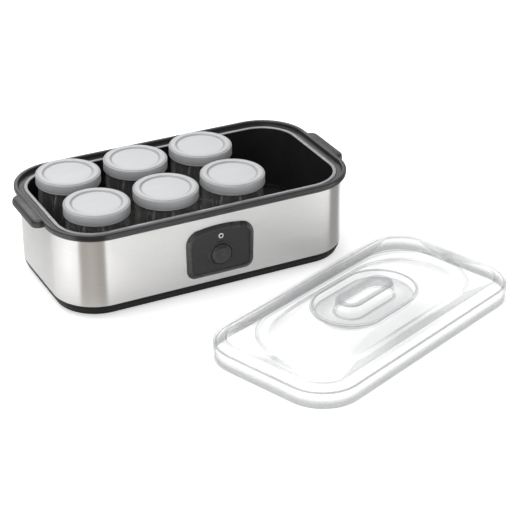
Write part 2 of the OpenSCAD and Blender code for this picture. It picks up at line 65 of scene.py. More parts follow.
Array = np.ndarray
Colour = tuple[float, float, float]
Point = tuple[float, float, float]
Pair = tuple[float, float]
Socket = bpy.types.NodeSocket

FULL: Pair = (0.0, 1.0)
WHITE = (1.0, 1.0, 1.0, 1.0)
SAME_SPOT = 1e-7  # metres; points closer than this are one point
SHORTEST_EDGE = 1e-3  # millimetres; keeps the bend of an edge finite
TIGHTEST_BEND = 2.0  # one over millimetres
CREASE = 32.0  # degrees; an edge above this stays sharp


# ---------- geometry ----------


class Facing(Enum):
    """Which way a piece's own +Z looks once it is in place."""

    UP = "up"
    FRONT = "front"
    BACK = "back"


@dataclass(frozen=True)
class Place:
    """Where a piece's own origin goes, and how it is turned."""

    x: float
    y: float
    z: float = 0.0
    turn: float = 0.0
    facing: Facing = Facing.UP

    def apply(self, points: Array) -> Array:
        """Moves points from the piece's own axes to the common frame.

        Args:
            points: any array whose last axis is x, y, z.

        Returns:
            The points, faced, turned about +Z and moved.
        """
        x, y, z = points[..., 0], points[..., 1], points[..., 2]
        if self.facing is Facing.FRONT:
            x, y, z = x, -z, y
        elif self.facing is Facing.BACK:
            x, y, z = -x, z, y
        c, s = math.cos(math.radians(self.turn)), math.sin(math.radians(self.turn))
        return np.stack([self.x + c * x - s * y, self.y + s * x + c * y, self.z + z], axis=-1)


def arc_profile(points: Sequence[Sequence[float]], reach: Sequence[float], steps: int = 5) -> Array:
    """Rounds the corners of an open path with parabolas.

    A corner K with reach d starts to turn at A, d before it, and ends at B, d after
    it, along P(t) = (1-t)^2 A + 2t(1-t) K + t^2 B.

    Args:
        points: the path's corners, in any number of dimensions.
        reach: the reach at each corner; 0 keeps it sharp.
        steps: how many pieces each bend has.

    Returns:
        The rounded path, one point a row.
    """
    keys = np.asarray(points, float)
    t = np.linspace(0.0, 1.0, steps + 1)[:, None]
    out = []
    for i, key in enumerate(keys):
        if reach[i] <= 0.0 or i in (0, len(keys) - 1):
            out.append(key[None])
            continue
        before, after = keys[i - 1] - key, keys[i + 1] - key
        a = key + before * min(0.49, reach[i] / np.linalg.norm(before))
        b = key + after * min(0.49, reach[i] / np.linalg.norm(after))
        out.append((1 - t) ** 2 * a + 2 * t * (1 - t) * key + t**2 * b)
    return np.concatenate(out)


def closed_profile(points: Sequence[Sequence[float]], reach: Sequence[float], steps: int = 4) -> Array:
    """Rounds the corners of a closed section.

    Args:
        points: corners of the section, anticlockwise as (outwards, up).
        reach: the reach of each corner's bend.
        steps: how many pieces each bend has.

    Returns:
        The section's points, without a repeated last one.
    """
    ring = [*points[-1:], *points, *points[:1]]
    bends = [0.0, *reach, 0.0]
    return arc_profile(ring, bends, steps)[1:-1]


def oblong_rings(sections: Array, steps: int = 16, fill: int = 0) -> Array:
    """Level rings in the shape of rounded rectangles.

    A point at angle a in the corner (i, j) is i*(half length - r) + r*cos(a) along x
    and j*(half width - r) + r*sin(a) along y. The straights between corners are
    divided evenly.

    Args:
        sections: rows of half length, half width, corner radius, height.
        steps: how many pieces each corner has.
        fill: how many points each straight has between its ends.

    Returns:
        Points as (section, round the ring, xyz).
    """
    angle = np.radians(np.concatenate([np.linspace(90 * q, 90 * q + 90, steps + 1) for q in range(4)]))
    side_x = np.repeat([1.0, -1.0, -1.0, 1.0], steps + 1)
    side_y = np.repeat([1.0, 1.0, -1.0, -1.0], steps + 1)
    half_l, half_w, r, z = (sections[:, k, None] for k in range(4))
    x = side_x * (half_l - r) + r * np.cos(angle)
    y = side_y * (half_w - r) + r * np.sin(angle)
    rings = np.stack([x, y, np.broadcast_to(z, x.shape)], axis=-1)
    part = np.linspace(0.0, 1.0, fill + 1, endpoint=False)[1:]
    spot = np.arange(4 * (steps + 1), dtype=float)
    gaps = [k * (steps + 1) + steps + part for k in range(4)]
    spot = np.sort(np.concatenate([spot, *gaps]))
    low, share = np.floor(spot).astype(int), (spot % 1.0)[:, None]
    return rings[:, low] * (1 - share) + np.roll(rings, -1, 1)[:, low] * share


def round_rings(profile: Array, steps: int = 96) -> Array:
    """Rings of a turned shape: each (radius, height) of the profile, carried round +Z.

    Args:
        profile: rows of radius, height.
        steps: how many pieces a turn has.

    Returns:
        Points as (profile, round the axis, xyz).
    """
    angle = np.linspace(0.0, 2 * math.pi, steps, endpoint=False)
    r, z = profile[:, 0, None], profile[:, 1, None]
    high = np.broadcast_to(z, (len(profile), steps))
    return np.stack([r * np.cos(angle), r * np.sin(angle), high], axis=-1)


@dataclass(frozen=True)
class Curve:
    """A closed level outline with the direction that leads out of it at each point."""

    points: Array
    outward: Array

    def rings(self, profile: Array) -> Array:
        """Carries a profile round the outline: point + outward * offset, at its height.

        Args:
            profile: rows of offset outwards, height.

        Returns:
            Points as (profile, round the outline, xyz).
        """
        flat = self.points + self.outward * profile[:, 0, None, None]
        high = np.broadcast_to(profile[:, 1, None, None], flat.shape[:2] + (1,))
        return np.concatenate([flat, high], axis=-1)


@dataclass
class Skin:
    """One closed surface: rings joined to the next, with flat ends or a wrap."""

    rings: Array
    wrap: bool = False
    cap_first: bool = False
    cap_last: bool = False

    def parts(self, start: int) -> tuple[Array, list[list[int]], Array]:
        """Works out the faces.

        Args:
            start: index of this surface's first point in its mesh.

        Returns:
            The four-sided faces, the flat ends, and a map for the four-sided faces
            with distance round the ring and along the profile, in metres.
        """
        rows, cols = self.rings.shape[:2]
        index = start + np.arange(rows * cols).reshape(rows, cols)
        low = index if self.wrap else index[:-1]
        high = np.roll(index, -1, axis=0) if self.wrap else index[1:]
        quads = np.stack([low, np.roll(low, -1, 1), np.roll(high, -1, 1), high], axis=-1).reshape(-1, 4)
        closed = np.concatenate([self.rings, self.rings[:, :1]], axis=1)
        around = np.linalg.norm(np.diff(closed, axis=1), axis=2).mean(axis=0)
        u = np.concatenate([[0.0], np.cumsum(around)]) * MM
        tall = np.concatenate([self.rings, self.rings[:1]]) if self.wrap else self.rings
        upwards = np.linalg.norm(np.diff(tall, axis=0), axis=2).mean(axis=1)
        v = np.concatenate([[0.0], np.cumsum(upwards)]) * MM
        n = len(low)
        uu = np.broadcast_to(np.stack([u[:-1], u[1:], u[1:], u[:-1]], axis=-1), (n, cols, 4))
        rise = np.stack([v[:n], v[:n], v[1 : n + 1], v[1 : n + 1]], axis=-1)
        vv = np.broadcast_to(rise[:, None], (n, cols, 4))
        caps = []
        if self.cap_first:
            caps.append(index[0, ::-1].tolist())
        if self.cap_last:
            caps.append(index[-1].tolist())
        return quads, caps, np.stack([uu, vv], axis=-1).reshape(-1, 2)


def add_object(name: str, data: bpy.types.ID) -> bpy.types.Object:
    """Puts a new object in the scene.

    Args:
        name: name of the object.
        data: its mesh, lamp or camera.

    Returns:
        The object.
    """
    made = bpy.data.objects.new(name, data)
    bpy.context.scene.collection.objects.link(made)
    return made


def shade(mesh: bpy.types.Mesh, crease: float) -> None:
    """Smooths a mesh, but leaves edges above an angle of crease degrees sharp."""
    mesh.shade_smooth()
    mesh.set_sharp_from_angle(angle=math.radians(crease))


def face_middles(piece: bpy.types.Object) -> Array:
    """Reads where a piece's faces are.

    Args:
        piece: the piece.

    Returns:
        The middle of each face in millimetres, one a row.
    """
    middles = np.empty(3 * len(piece.data.polygons))
    piece.data.polygons.foreach_get("center", middles)
    return middles.reshape(-1, 3) / MM


def make_mesh(name: str, skins: Sequence[Skin], place: Place, crease: float = CREASE) -> bpy.types.Object:
    """Builds one smooth-shaded object from closed surfaces.

    Args:
        name: name of the object.
        skins: its surfaces, in the piece's own axes.
        place: where the piece goes.
        crease: angle in degrees above which an edge stays sharp.

    Returns:
        The new object, at the origin, with its place in its mesh.
    """
    points, faces, maps, start = [], [], [], 0
    for skin in skins:
        quads, caps, uv = skin.parts(start)
        points.append(place.apply(skin.rings.reshape(-1, 3)) * MM)
        faces += quads.tolist() + caps
        maps += [uv, np.zeros((sum(map(len, caps)), 2))]
        start += skin.rings.shape[0] * skin.rings.shape[1]
    mesh = bpy.data.meshes.new(name)
    mesh.from_pydata(np.concatenate(points), [], faces)
    spread = np.concatenate(maps).ravel().astype(np.float32)
    mesh.uv_layers.new(name="along").data.foreach_set("uv", spread)
    work = bmesh.new()
    work.from_mesh(mesh)
    bmesh.ops.remove_doubles(work, verts=work.verts, dist=SAME_SPOT)
    work.to_mesh(mesh)
    work.free()
    shade(mesh, crease)
    return add_object(name, mesh)


def carve(piece: bpy.types.Object, tools: Sequence[bpy.types.Object], crease: float) -> None:
    """Cuts closed tools out of a piece and removes them.

    Args:
        piece: the piece to cut.
        tools: closed objects that overlap it.
        crease: angle in degrees above which an edge stays sharp.
    """
    for tool in tools:
        cut = piece.modifiers.new("cut", "BOOLEAN")
        cut.operation, cut.solver, cut.object = "DIFFERENCE", "EXACT", tool
    whole = piece.data
    cut_piece = piece.evaluated_get(bpy.context.evaluated_depsgraph_get())
    piece.data = bpy.data.meshes.new_from_object(cut_piece)
    piece.modifiers.clear()
    for tool in tools:
        shape = tool.data
        bpy.data.objects.remove(tool)
        bpy.data.meshes.remove(shape)
    bpy.data.meshes.remove(whole)
    shade(piece.data, crease)


def mark_bends(piece: bpy.types.Object) -> None:
    """Stores how tightly a surface bends, as the point attribute "bend".

    Over a point's edges it is the greatest |n1 - n2| / |p1 - p2|, the difference of the
    ends' normals over the edge's length in millimetres, so 1 / radius on a round bend.

    Args:
        piece: the piece to mark.
    """
    mesh = piece.data
    spots = np.empty(3 * len(mesh.vertices))
    normals = np.empty(3 * len(mesh.vertices), dtype=np.float32)
    ends = np.empty(2 * len(mesh.edges), dtype=np.int32)
    mesh.vertices.foreach_get("co", spots)
    mesh.edges.foreach_get("vertices", ends)
    mesh.vertex_normals.foreach_get("vector", normals)
    spots, normals, ends = spots.reshape(-1, 3), normals.reshape(-1, 3), ends.reshape(-1, 2)
    turn = np.linalg.norm(normals[ends[:, 0]] - normals[ends[:, 1]], axis=1)
    length = np.linalg.norm(spots[ends[:, 0]] - spots[ends[:, 1]], axis=1) / MM
    turn = turn / np.maximum(length, SHORTEST_EDGE)
    bend = np.zeros(len(spots))
    np.maximum.at(bend, ends.ravel(), np.repeat(turn, 2))
    bend = np.minimum(bend, TIGHTEST_BEND).astype(np.float32)
    mesh.attributes.new("bend", "FLOAT", "POINT").data.foreach_set("value", bend)


# ---------- finishes ----------


class Nodes:
    """Adds shader nodes to a tree and joins them."""

    def __init__(self, tree: bpy.types.NodeTree) -> None:
        """Keeps the tree that nodes go into."""
        self.tree = tree

    def feed(self, node: bpy.types.Node, inputs: dict) -> None:
        """Sets inputs of a node to numbers, or joins them to outputs.

        Args:
            node: the node.
            inputs: values or output sockets, by the input's name or number.
        """
        for key, value in inputs.items():
            if isinstance(value, Socket):
                self.tree.links.new(value, node.inputs[key])
            else:
                node.inputs[key].default_value = value

    def add(self, kind: str, inputs: dict | None = None, **settings: object) -> bpy.types.Node:
        """Adds one node.

        Args:
            kind: the node's type name, such as "ShaderNodeMath".
            inputs: values or output sockets, by the input's name or number.
            settings: the node's own settings.

        Returns:
            The node.
        """
        node = self.tree.nodes.new(kind)
        for key, value in settings.items():
            setattr(node, key, value)
        self.feed(node, inputs or {})
        return node

    def maths(self, operation: str, a: object, b: object = 0.0) -> Socket:
        """Returns the output of one sum, product or other operation of a and b."""
        return self.add("ShaderNodeMath", {0: a, 1: b}, operation=operation).outputs[0]

    def vector(self, operation: str, a: object, b: object = (0.0, 0.0, 0.0)) -> bpy.types.Node:
        """Returns the node of one operation of the vectors a and b."""
        return self.add("ShaderNodeVectorMath", {0: a, 1: b}, operation=operation)

    def fit(self, value: object, old: Pair, new: Pair) -> Socket:
        """Returns value carried from the old range to the new one, and kept inside it."""
        ends = {"Value": value, 1: old[0], 2: old[1], 3: new[0], 4: new[1]}
        return self.add("ShaderNodeMapRange", ends, clamp=True).outputs[0]

    def blend(self, part: Socket, low: object, high: object) -> Socket:
        """Returns the colour that goes from low to high as part goes from 0 to 1."""
        return self.add("ShaderNodeMix", {0: part, 6: low, 7: high}, data_type="RGBA").outputs[2]

    def mix(self, part: Socket, low: bpy.types.Node, high: bpy.types.Node) -> bpy.types.Node:
        """Returns the mix of two shaders; part is the share of the high one."""
        return self.add("ShaderNodeMixShader", {0: part, 1: low.outputs[0], 2: high.outputs[0]})

    def bump(self, height: Socket, strength: float, depth: float) -> Socket:
        """Returns the normal of a surface with this height; depth is in millimetres."""
        inputs = {"Height": height, "Strength": strength, "Distance": depth * MM}
        return self.add("ShaderNodeBump", inputs).outputs[0]

    def show(self, shader: bpy.types.Node) -> None:
        """Makes a shader the one that the material or the world shows."""
        last = next(n for n in self.tree.nodes if n.type in ("OUTPUT_MATERIAL", "OUTPUT_WORLD"))
        self.tree.links.new(shader.outputs[0], last.inputs["Surface"])


def new_group(
    name: str, inputs: dict[str, float], outputs: Sequence[str]
) -> tuple[Nodes, dict[str, Socket], bpy.types.Node]:
    """Starts a shader node group of plain numbers.

    Args:
        name: name of the group.
        inputs: its inputs and their default values.
        outputs: names of its outputs.

    Returns:
        The group's nodes, its input sockets by name, and its output node.
    """
    tree = bpy.data.node_groups.new(name, "ShaderNodeTree")
    for key, value in inputs.items():
        made = tree.interface.new_socket(key, in_out="INPUT", socket_type="NodeSocketFloat")
        made.default_value = value
    for key in outputs:
        tree.interface.new_socket(key, in_out="OUTPUT", socket_type="NodeSocketFloat")
    nodes = Nodes(tree)
    source = nodes.add("NodeGroupInput")
    return nodes, {key: source.outputs[key] for key in inputs}, nodes.add("NodeGroupOutput")


def make_grain() -> bpy.types.NodeTree:
    """Makes the group for the fine grain of a moulded surface.

    The height is 0.6 of a fine noise plus 0.4 of one 0.31 times as fine.

    Returns:
        The group, which gives a height from 0 to 1.
    """
    nodes, given, out = new_group("moulded_grain", {"Scale": 2600.0}, ["Height"])
    spot = nodes.add("ShaderNodeTexCoord").outputs["Object"]
    parts = []
    for ratio, detail, share in ((1.0, 2.0, 0.6), (0.31, 1.0, 0.4)):
        scale = nodes.maths("MULTIPLY", given["Scale"], ratio)
        noise = nodes.add("ShaderNodeTexNoise", {"Vector": spot, "Scale": scale, "Detail": detail})
        parts.append(nodes.maths("MULTIPLY", noise.outputs["Fac"], share))
    nodes.feed(out, {"Height": nodes.maths("ADD", *parts)})
    return nodes.tree


def make_handling() -> bpy.types.NodeTree:
    """Makes the group for faint smears left by wiping.

    Returns:
        The group, which gives a mask from 0 to 1.
    """
    nodes, given, out = new_group("handling_marks", {"Scale": 22.0, "Stretch": 3.0}, ["Mask"])
    spot = nodes.add("ShaderNodeTexCoord").outputs["Object"]
    long = nodes.add("ShaderNodeCombineXYZ", {0: 1.0, 1: given["Stretch"], 2: 1.4}).outputs[0]
    bent = nodes.vector("MULTIPLY", spot, long).outputs[0]
    inputs = {"Vector": bent, "Scale": given["Scale"], "Detail": 4.0, "Distortion": 0.6}
    cloud = nodes.add("ShaderNodeTexNoise", inputs)
    nodes.feed(out, {"Mask": nodes.fit(cloud.outputs["Fac"], (0.38, 0.72), FULL)})
    return nodes.tree


def make_brushing() -> bpy.types.NodeTree:
    """Makes the group for long fine scratches along a sheet.

    Returns:
        The group, which gives a height and a tone from 0 to 1.
    """
    given_inputs = {"Length": 26.0, "Fineness": 4200.0}
    nodes, given, out = new_group("brushed_lines", given_inputs, ["Height", "Tone"])
    along = nodes.add("ShaderNodeUVMap", uv_map="along").outputs[0]
    for key, ratio in (("Height", 1.0), ("Tone", 0.45)):
        fine = nodes.maths("MULTIPLY", given["Fineness"], ratio)
        scale = nodes.add("ShaderNodeCombineXYZ", {0: given["Length"], 1: fine}).outputs[0]
        lines = nodes.vector("MULTIPLY", along, scale).outputs[0]
        noise = nodes.add("ShaderNodeTexNoise", {"Vector": lines, "Scale": 1.0, "Detail": 3.0})
        nodes.feed(out, {key: noise.outputs["Fac"]})
    return nodes.tree


@dataclass
class Effects:
    """Shader node groups that several finishes share."""

    grain: bpy.types.NodeTree = field(default_factory=make_grain)
    handling: bpy.types.NodeTree = field(default_factory=make_handling)
    brushing: bpy.types.NodeTree = field(default_factory=make_brushing)

    def smears(self, nodes: Nodes) -> Socket:
        """Returns the mask of faint smears."""
        return nodes.add("ShaderNodeGroup", node_tree=self.handling).outputs["Mask"]

    def grained(self, nodes: Nodes, scale: float, strength: float, depth: float) -> Socket:
        """Returns the normal of a grained surface; depth is in millimetres."""
        grain = nodes.add("ShaderNodeGroup", {"Scale": scale}, node_tree=self.grain)
        return nodes.bump(grain.outputs["Height"], strength, depth)


def rgba(colour: Colour, factor: float = 1.0) -> tuple[float, ...]:
    """Returns a colour made lighter or darker by a factor, for a colour socket."""
    return (*(min(1.0, c * factor) for c in colour), 1.0)


def new_material(name: str) -> tuple[bpy.types.Material, Nodes, bpy.types.Node]:
    """Starts a material with one main shader.

    Args:
        name: name of the material.

    Returns:
        The material, its nodes and its Principled shader.
    """
    material = bpy.data.materials.new(name)
    material.use_nodes = True
    nodes = Nodes(material.node_tree)
    return material, nodes, material.node_tree.nodes["Principled BSDF"]


@dataclass(frozen=True)
class Moulded:
    """Injection-moulded plastic or rubber: grain, faint smears and a little tone drift."""

    name: str
    colour: Colour
    roughness: float = 0.4
    grain: float = 2600.0
    depth: float = 0.02
    drift: float = 0.12
    smear: float = 0.06
    specular: float = 0.5
    relief: float = 0.35

    def build(self, effects: Effects) -> bpy.types.Material:
        """Makes the material.

        Args:
            effects: the shared node groups.

        Returns:
            The material.
        """
        material, nodes, shader = new_material(self.name)
        mask = effects.smears(nodes)
        dark, light = rgba(self.colour, 1 - self.drift), rgba(self.colour, 1 + self.drift)
        gloss = (self.roughness - self.smear, self.roughness + self.smear)
        nodes.feed(shader, {
            "Base Color": nodes.blend(mask, dark, light),
            "Roughness": nodes.fit(mask, FULL, gloss),
            "Normal": effects.grained(nodes, self.grain, self.relief, self.depth),
            "Specular IOR Level": self.specular})
        return material


@dataclass(frozen=True)
class Metal:
    """Plain sheet or turned metal with faint smears."""

    name: str
    colour: Colour
    roughness: float = 0.3
    grain: float = 1800.0
    depth: float = 0.015
    relief: float = 0.3
    tarnish: float = 0.86
    spread: Pair = (0.8, 1.3)

    def build(self, effects: Effects) -> bpy.types.Material:
        """Makes the material.

        Args:
            effects: the shared node groups.

        Returns:
            The material.
        """
        material, nodes, shader = new_material(self.name)
        mask = effects.smears(nodes)
        gloss = (self.roughness * self.spread[0], self.roughness * self.spread[1])
        nodes.feed(shader, {
            "Base Color": nodes.blend(mask, rgba(self.colour, self.tarnish), rgba(self.colour)),
            "Roughness": nodes.fit(mask, FULL, gloss),
            "Normal": effects.grained(nodes, self.grain, self.relief, self.depth),
            "Metallic": 1.0})
        return material


@dataclass(frozen=True)
class BrushedSteel:
    """Stainless sheet brushed along its length."""

    name: str = "brushed_steel"
    colour: Colour = (0.77, 0.765, 0.755)
    roughness: float = 0.44
    stretch: float = 0.8
    tones: Pair = (0.965, 1.03)
    spread: float = 0.03
    relief: float = 0.2
    depth: float = 0.012
    noise: Pair = (0.3, 0.7)

    def build(self, effects: Effects) -> bpy.types.Material:
        """Makes the material.

        Args:
            effects: the shared node groups.

        Returns:
            The material.
        """
        material, nodes, shader = new_material(self.name)
        lines = nodes.add("ShaderNodeGroup", node_tree=effects.brushing).outputs
        dark, light = (rgba(self.colour, factor) for factor in self.tones)
        ends = (self.roughness - self.spread, self.roughness + self.spread)
        streaks = nodes.fit(lines["Height"], self.noise, ends)
        smears = nodes.fit(effects.smears(nodes), FULL, (0.0, self.spread))
        tangent = nodes.add("ShaderNodeTangent", direction_type="UV_MAP", uv_map="along")
        nodes.feed(shader, {
            "Base Color": nodes.blend(nodes.fit(lines["Tone"], self.noise, FULL), dark, light),
            "Roughness": nodes.maths("ADD", streaks, smears),
            "Normal": nodes.bump(lines["Height"], self.relief, self.depth),
            "Tangent": tangent.outputs[0],
            "Metallic": 1.0, "Anisotropic": self.stretch, "Anisotropic Rotation": 0.25})
        return material


@dataclass(frozen=True)
class ThinClear:
    """Clear glass or plastic in thin walls: see-through face on, glossier edge on, with painted grey
    shade edge on, along tight bends and on sloped walls.
    """

    name: str
    colour: Colour
    body: float = 0.02
    edge: float = 0.6
    power: float = 8.0
    film: float = 0.05
    roughness: float = 0.03
    wave: float = 30.0
    # line: strength of the painted shade along tight bends; slope: of that on sloped walls.
    line: float = 0.4
    slope: float = 0.0
    # streaks: share of the painted white glints.
    streaks: float = 0.0
    glare: float = 0.4
    relief: float = 0.3
    depth: float = 0.02
    smear: float = 0.05
    through: Colour = (0.99, 0.992, 0.992)
    # Ranges of bend and of level where the painted shade falls.
    tight: Pair = (0.2, 0.5)
    draft: Pair = (0.8, 0.985)
    upright: Pair = (0.1, 0.5)
    upright_share: float = 0.4
    glint_stretch: Point = (150.0, 22.0, 0.0)
    peaks: Pair = (0.6, 0.7)

    def haze_and_painted_shade(self, nodes: Nodes, mask: Socket, tilt: Socket) -> Socket:
        """Works out how much of the wall's own colour shows, painted shade included.

        It is body + edge * tilt^power, the grey edge on being painted shade, plus a painted
        line of shade where the wall bends tightly, plus painted shade of strength slope on
        drafted walls, most of all on those between level and upright.

        Args:
            nodes: the material's nodes.
            mask: the mask of faint smears.
            tilt: 0 face on, 1 edge on.

        Returns:
            The share of the wall's own colour with its painted shade, from 0 up.
        """
        # Painted shade: grey edge on, along tight bends and on sloped walls.
        steep = nodes.maths("MULTIPLY", nodes.maths("POWER", tilt, self.power), self.edge)
        haze_and_painted_shade = nodes.maths("ADD", steep, nodes.fit(mask, FULL, (self.body, self.body * 1.5)))
        bend = nodes.add("ShaderNodeAttribute", attribute_name="bend").outputs["Fac"]
        haze_and_painted_shade = nodes.maths("ADD", haze_and_painted_shade, nodes.fit(bend, self.tight, (0.0, self.line)))
        if self.slope > 0.0:
            normal = nodes.add("ShaderNodeNewGeometry").outputs["Normal"]
            level = nodes.add("ShaderNodeSeparateXYZ", {0: normal}).outputs["Z"]
            level = nodes.maths("ABSOLUTE", level)
            tilted = nodes.fit(level, self.draft, (self.slope, 0.0))
            leaning = nodes.fit(level, self.upright, (self.upright_share, 1.0))
            haze_and_painted_shade = nodes.maths("ADD", haze_and_painted_shade, nodes.maths("MULTIPLY", tilted, leaning))
        return haze_and_painted_shade

    def glints(self, nodes: Nodes) -> Socket:
        """Works out painted white glints in wavy streaks: the peaks of a noise drawn out upwards.

        Args:
            nodes: the material's nodes.

        Returns:
            A mask from 0 to 1.
        """
        along = nodes.add("ShaderNodeUVMap", uv_map="along").outputs[0]
        drawn = nodes.vector("MULTIPLY", along, self.glint_stretch).outputs[0]
        inputs = {"Vector": drawn, "Scale": 1.0, "Detail": 2.0, "Distortion": 0.8}
        wavy = nodes.add("ShaderNodeTexNoise", inputs).outputs["Fac"]
        return nodes.fit(wavy, self.peaks, FULL)

    def build(self, effects: Effects) -> bpy.types.Material:
        """Makes the material.

        The gloss follows film + glare * tilt^5, where tilt is 0 face on and 1 edge on.
        Gloss and the wall's own colour, with its painted shade and glints, together cover what
        lies behind, and the gloss is a mirror film.

        Args:
            effects: the shared node groups.

        Returns:
            The material.
        """
        material, nodes, shader = new_material(self.name)
        mask = effects.smears(nodes)
        normal = effects.grained(nodes, self.wave, self.relief, self.depth)
        facing = nodes.add("ShaderNodeLayerWeight", {"Blend": 0.5, "Normal": normal})
        tilt = facing.outputs["Facing"]
        steep = nodes.maths("POWER", tilt, 5.0)
        gloss = nodes.fit(steep, FULL, (self.film, self.film + self.glare))
        haze_and_painted_shade, body = self.haze_and_painted_shade(nodes, mask, tilt), rgba(self.colour)
        # Painted glints: in wavy streaks the wall's own colour shows more and turns white.
        if self.streaks > 0.0:
            glint = self.glints(nodes)
            haze_and_painted_shade = nodes.maths("ADD", haze_and_painted_shade, nodes.maths("MULTIPLY", glint, self.streaks))
            body = nodes.blend(glint, body, WHITE)
        share = nodes.maths("ADD", gloss, haze_and_painted_shade)
        mirror = nodes.maths("DIVIDE", gloss, share)
        inputs = {
            "Base Color": nodes.blend(mirror, body, WHITE),
            "Roughness": nodes.fit(mask, FULL, (self.roughness, self.roughness + self.smear)),
            "Normal": normal}
        nodes.feed(shader, inputs)
        film = nodes.add("ShaderNodeBsdfPrincipled", {**inputs, "Metallic": 1.0})
        clear = nodes.add("ShaderNodeBsdfTransparent", {"Color": rgba(self.through)})
        cover = nodes.maths("MINIMUM", share, 1.0)
        nodes.show(nodes.mix(cover, clear, nodes.mix(mirror, shader, film)))
        return material


@dataclass(frozen=True)
class Milky:
    """Soft translucent plastic of the jar lids, with painted grey shade at its ridges and edges."""

    name: str = "milky_lid"
    colour: Colour = (0.68, 0.685, 0.695)
    # grey and shade: colour and share of the painted shade where the lid bends tightly.
    grey: Colour = (0.1, 0.105, 0.11)
    roughness: float = 0.38
    through: float = 0.2
    shade: float = 0.4
    grain: float = 500.0
    relief: float = 0.2
    depth: float = 0.006
    cloud: float = 0.08
    tight: Pair = (0.25, 1.2)
    spread: Pair = (0.03, 0.05)

    def build(self, effects: Effects) -> bpy.types.Material:
        """Makes the material.

        Args:
            effects: the shared node groups.

        Returns:
            The material.
        """
        material, nodes, shader = new_material(self.name)
        mask = effects.smears(nodes)
        # Painted shade where the lid bends tightly, over a random clouding.
        bend = nodes.add("ShaderNodeAttribute", attribute_name="bend").outputs["Fac"]
        cloud = nodes.fit(mask, FULL, (self.cloud, 0.0))
        part = nodes.maths("ADD", cloud, nodes.fit(bend, self.tight, (0.0, self.shade)))
        gloss = (self.roughness - self.spread[0], self.roughness + self.spread[1])
        nodes.feed(shader, {
            "Base Color": nodes.blend(part, rgba(self.colour), rgba(self.grey)),
            "Roughness": nodes.fit(mask, FULL, gloss),
            "Normal": effects.grained(nodes, self.grain, self.relief, self.depth),
            "Transmission Weight": self.through, "IOR": 1.5})
        return material


Finish = Moulded | Metal | BrushedSteel | ThinClear | Milky


@dataclass
class Finishes:
    """Every finish of the set, each built once."""

    effects: Effects = field(default_factory=Effects)
    made: dict[str, bpy.types.Material] = field(default_factory=dict)

    def get(self, finish: Finish) -> bpy.types.Material:
        """Finds the material of a finish, and builds it the first time.

        Args:
            finish: the finish.

        Returns:
            Its material.
        """
        if finish.name not in self.made:
            self.made[finish.name] = finish.build(self.effects)
        return self.made[finish.name]


STEEL = BrushedSteel()
RIM = Moulded("rim_plastic", (0.018, 0.0175, 0.0195), 0.36, depth=0.01)
TUB = Moulded("tub_plastic", (0.013, 0.013, 0.0135), 0.6, depth=0.012, specular=0.12)
# Painted sheen: the flange top of the black tub, light grey for the light it catches.
FLANGE_PAINTED_SHEEN = Moulded("tub_flange", (0.3, 0.3, 0.315), 0.3, depth=0.008)
BASE = Moulded("base_plastic", (0.007, 0.0068, 0.007), 0.5, specular=0.25)
PANEL = Moulded("panel_frame", (0.034, 0.033, 0.035), 0.3)
FACE = Moulded("panel_face", (0.026, 0.025, 0.025), 0.42, specular=0.35)
BUTTON = Moulded("button_plastic", (0.026, 0.026, 0.028), 0.3)
RUBBER = Moulded("black_rubber", (0.018, 0.018, 0.018), 0.7, 900.0, 0.05)
PILOT = Moulded("pilot_white", (0.72, 0.72, 0.72), 0.3, depth=0.005, drift=0.03)
CORE = Moulded("pilot_core", (0.012, 0.012, 0.013), 0.3, depth=0.002)
LENS = Moulded("pilot_lens", (0.02, 0.012, 0.012), 0.1, depth=0.002)
SILICONE = Moulded("heating_cord_silicone", (0.55, 0.12, 0.06), 0.55, 1400.0)
NYLON = Moulded("block_nylon", (0.75, 0.72, 0.6), 0.5)
SLEEVING = Moulded("wire_sleeving", (0.05, 0.14, 0.42), 0.5)
BOARD = Moulded("board_lacquer", (0.03, 0.16, 0.06), 0.25, 700.0)
SWITCH = Moulded("switch_case", (0.03, 0.03, 0.03), 0.5)
CERAMIC = Moulded("fuse_ceramic", (0.75, 0.73, 0.66), 0.35, 1200.0)
ALUMINIUM = Metal("rolled_aluminium", (0.8, 0.8, 0.82), 0.32)
ZINC = Metal("zinc_plated_steel", (0.62, 0.62, 0.64), 0.28)
CAN = Metal("thermostat_can", (0.68, 0.66, 0.6), 0.3)
# line and streaks: painted shade at tight bends and painted white glints.
GLASS = ThinClear("jar_glass", (0.5, 0.475, 0.44), 0.03, 0.5, 5.0, 0.05, line=0.25, streaks=0.24)
# line and slope: painted shade at tight bends and on sloped walls.
POLYSTYRENE = ThinClear("clear_polystyrene", (0.32, 0.33, 0.34), 0.014, 0.85, 7.0, line=0.38, slope=0.085)
LID = Milky()


# ---------- the set's sizes ----------


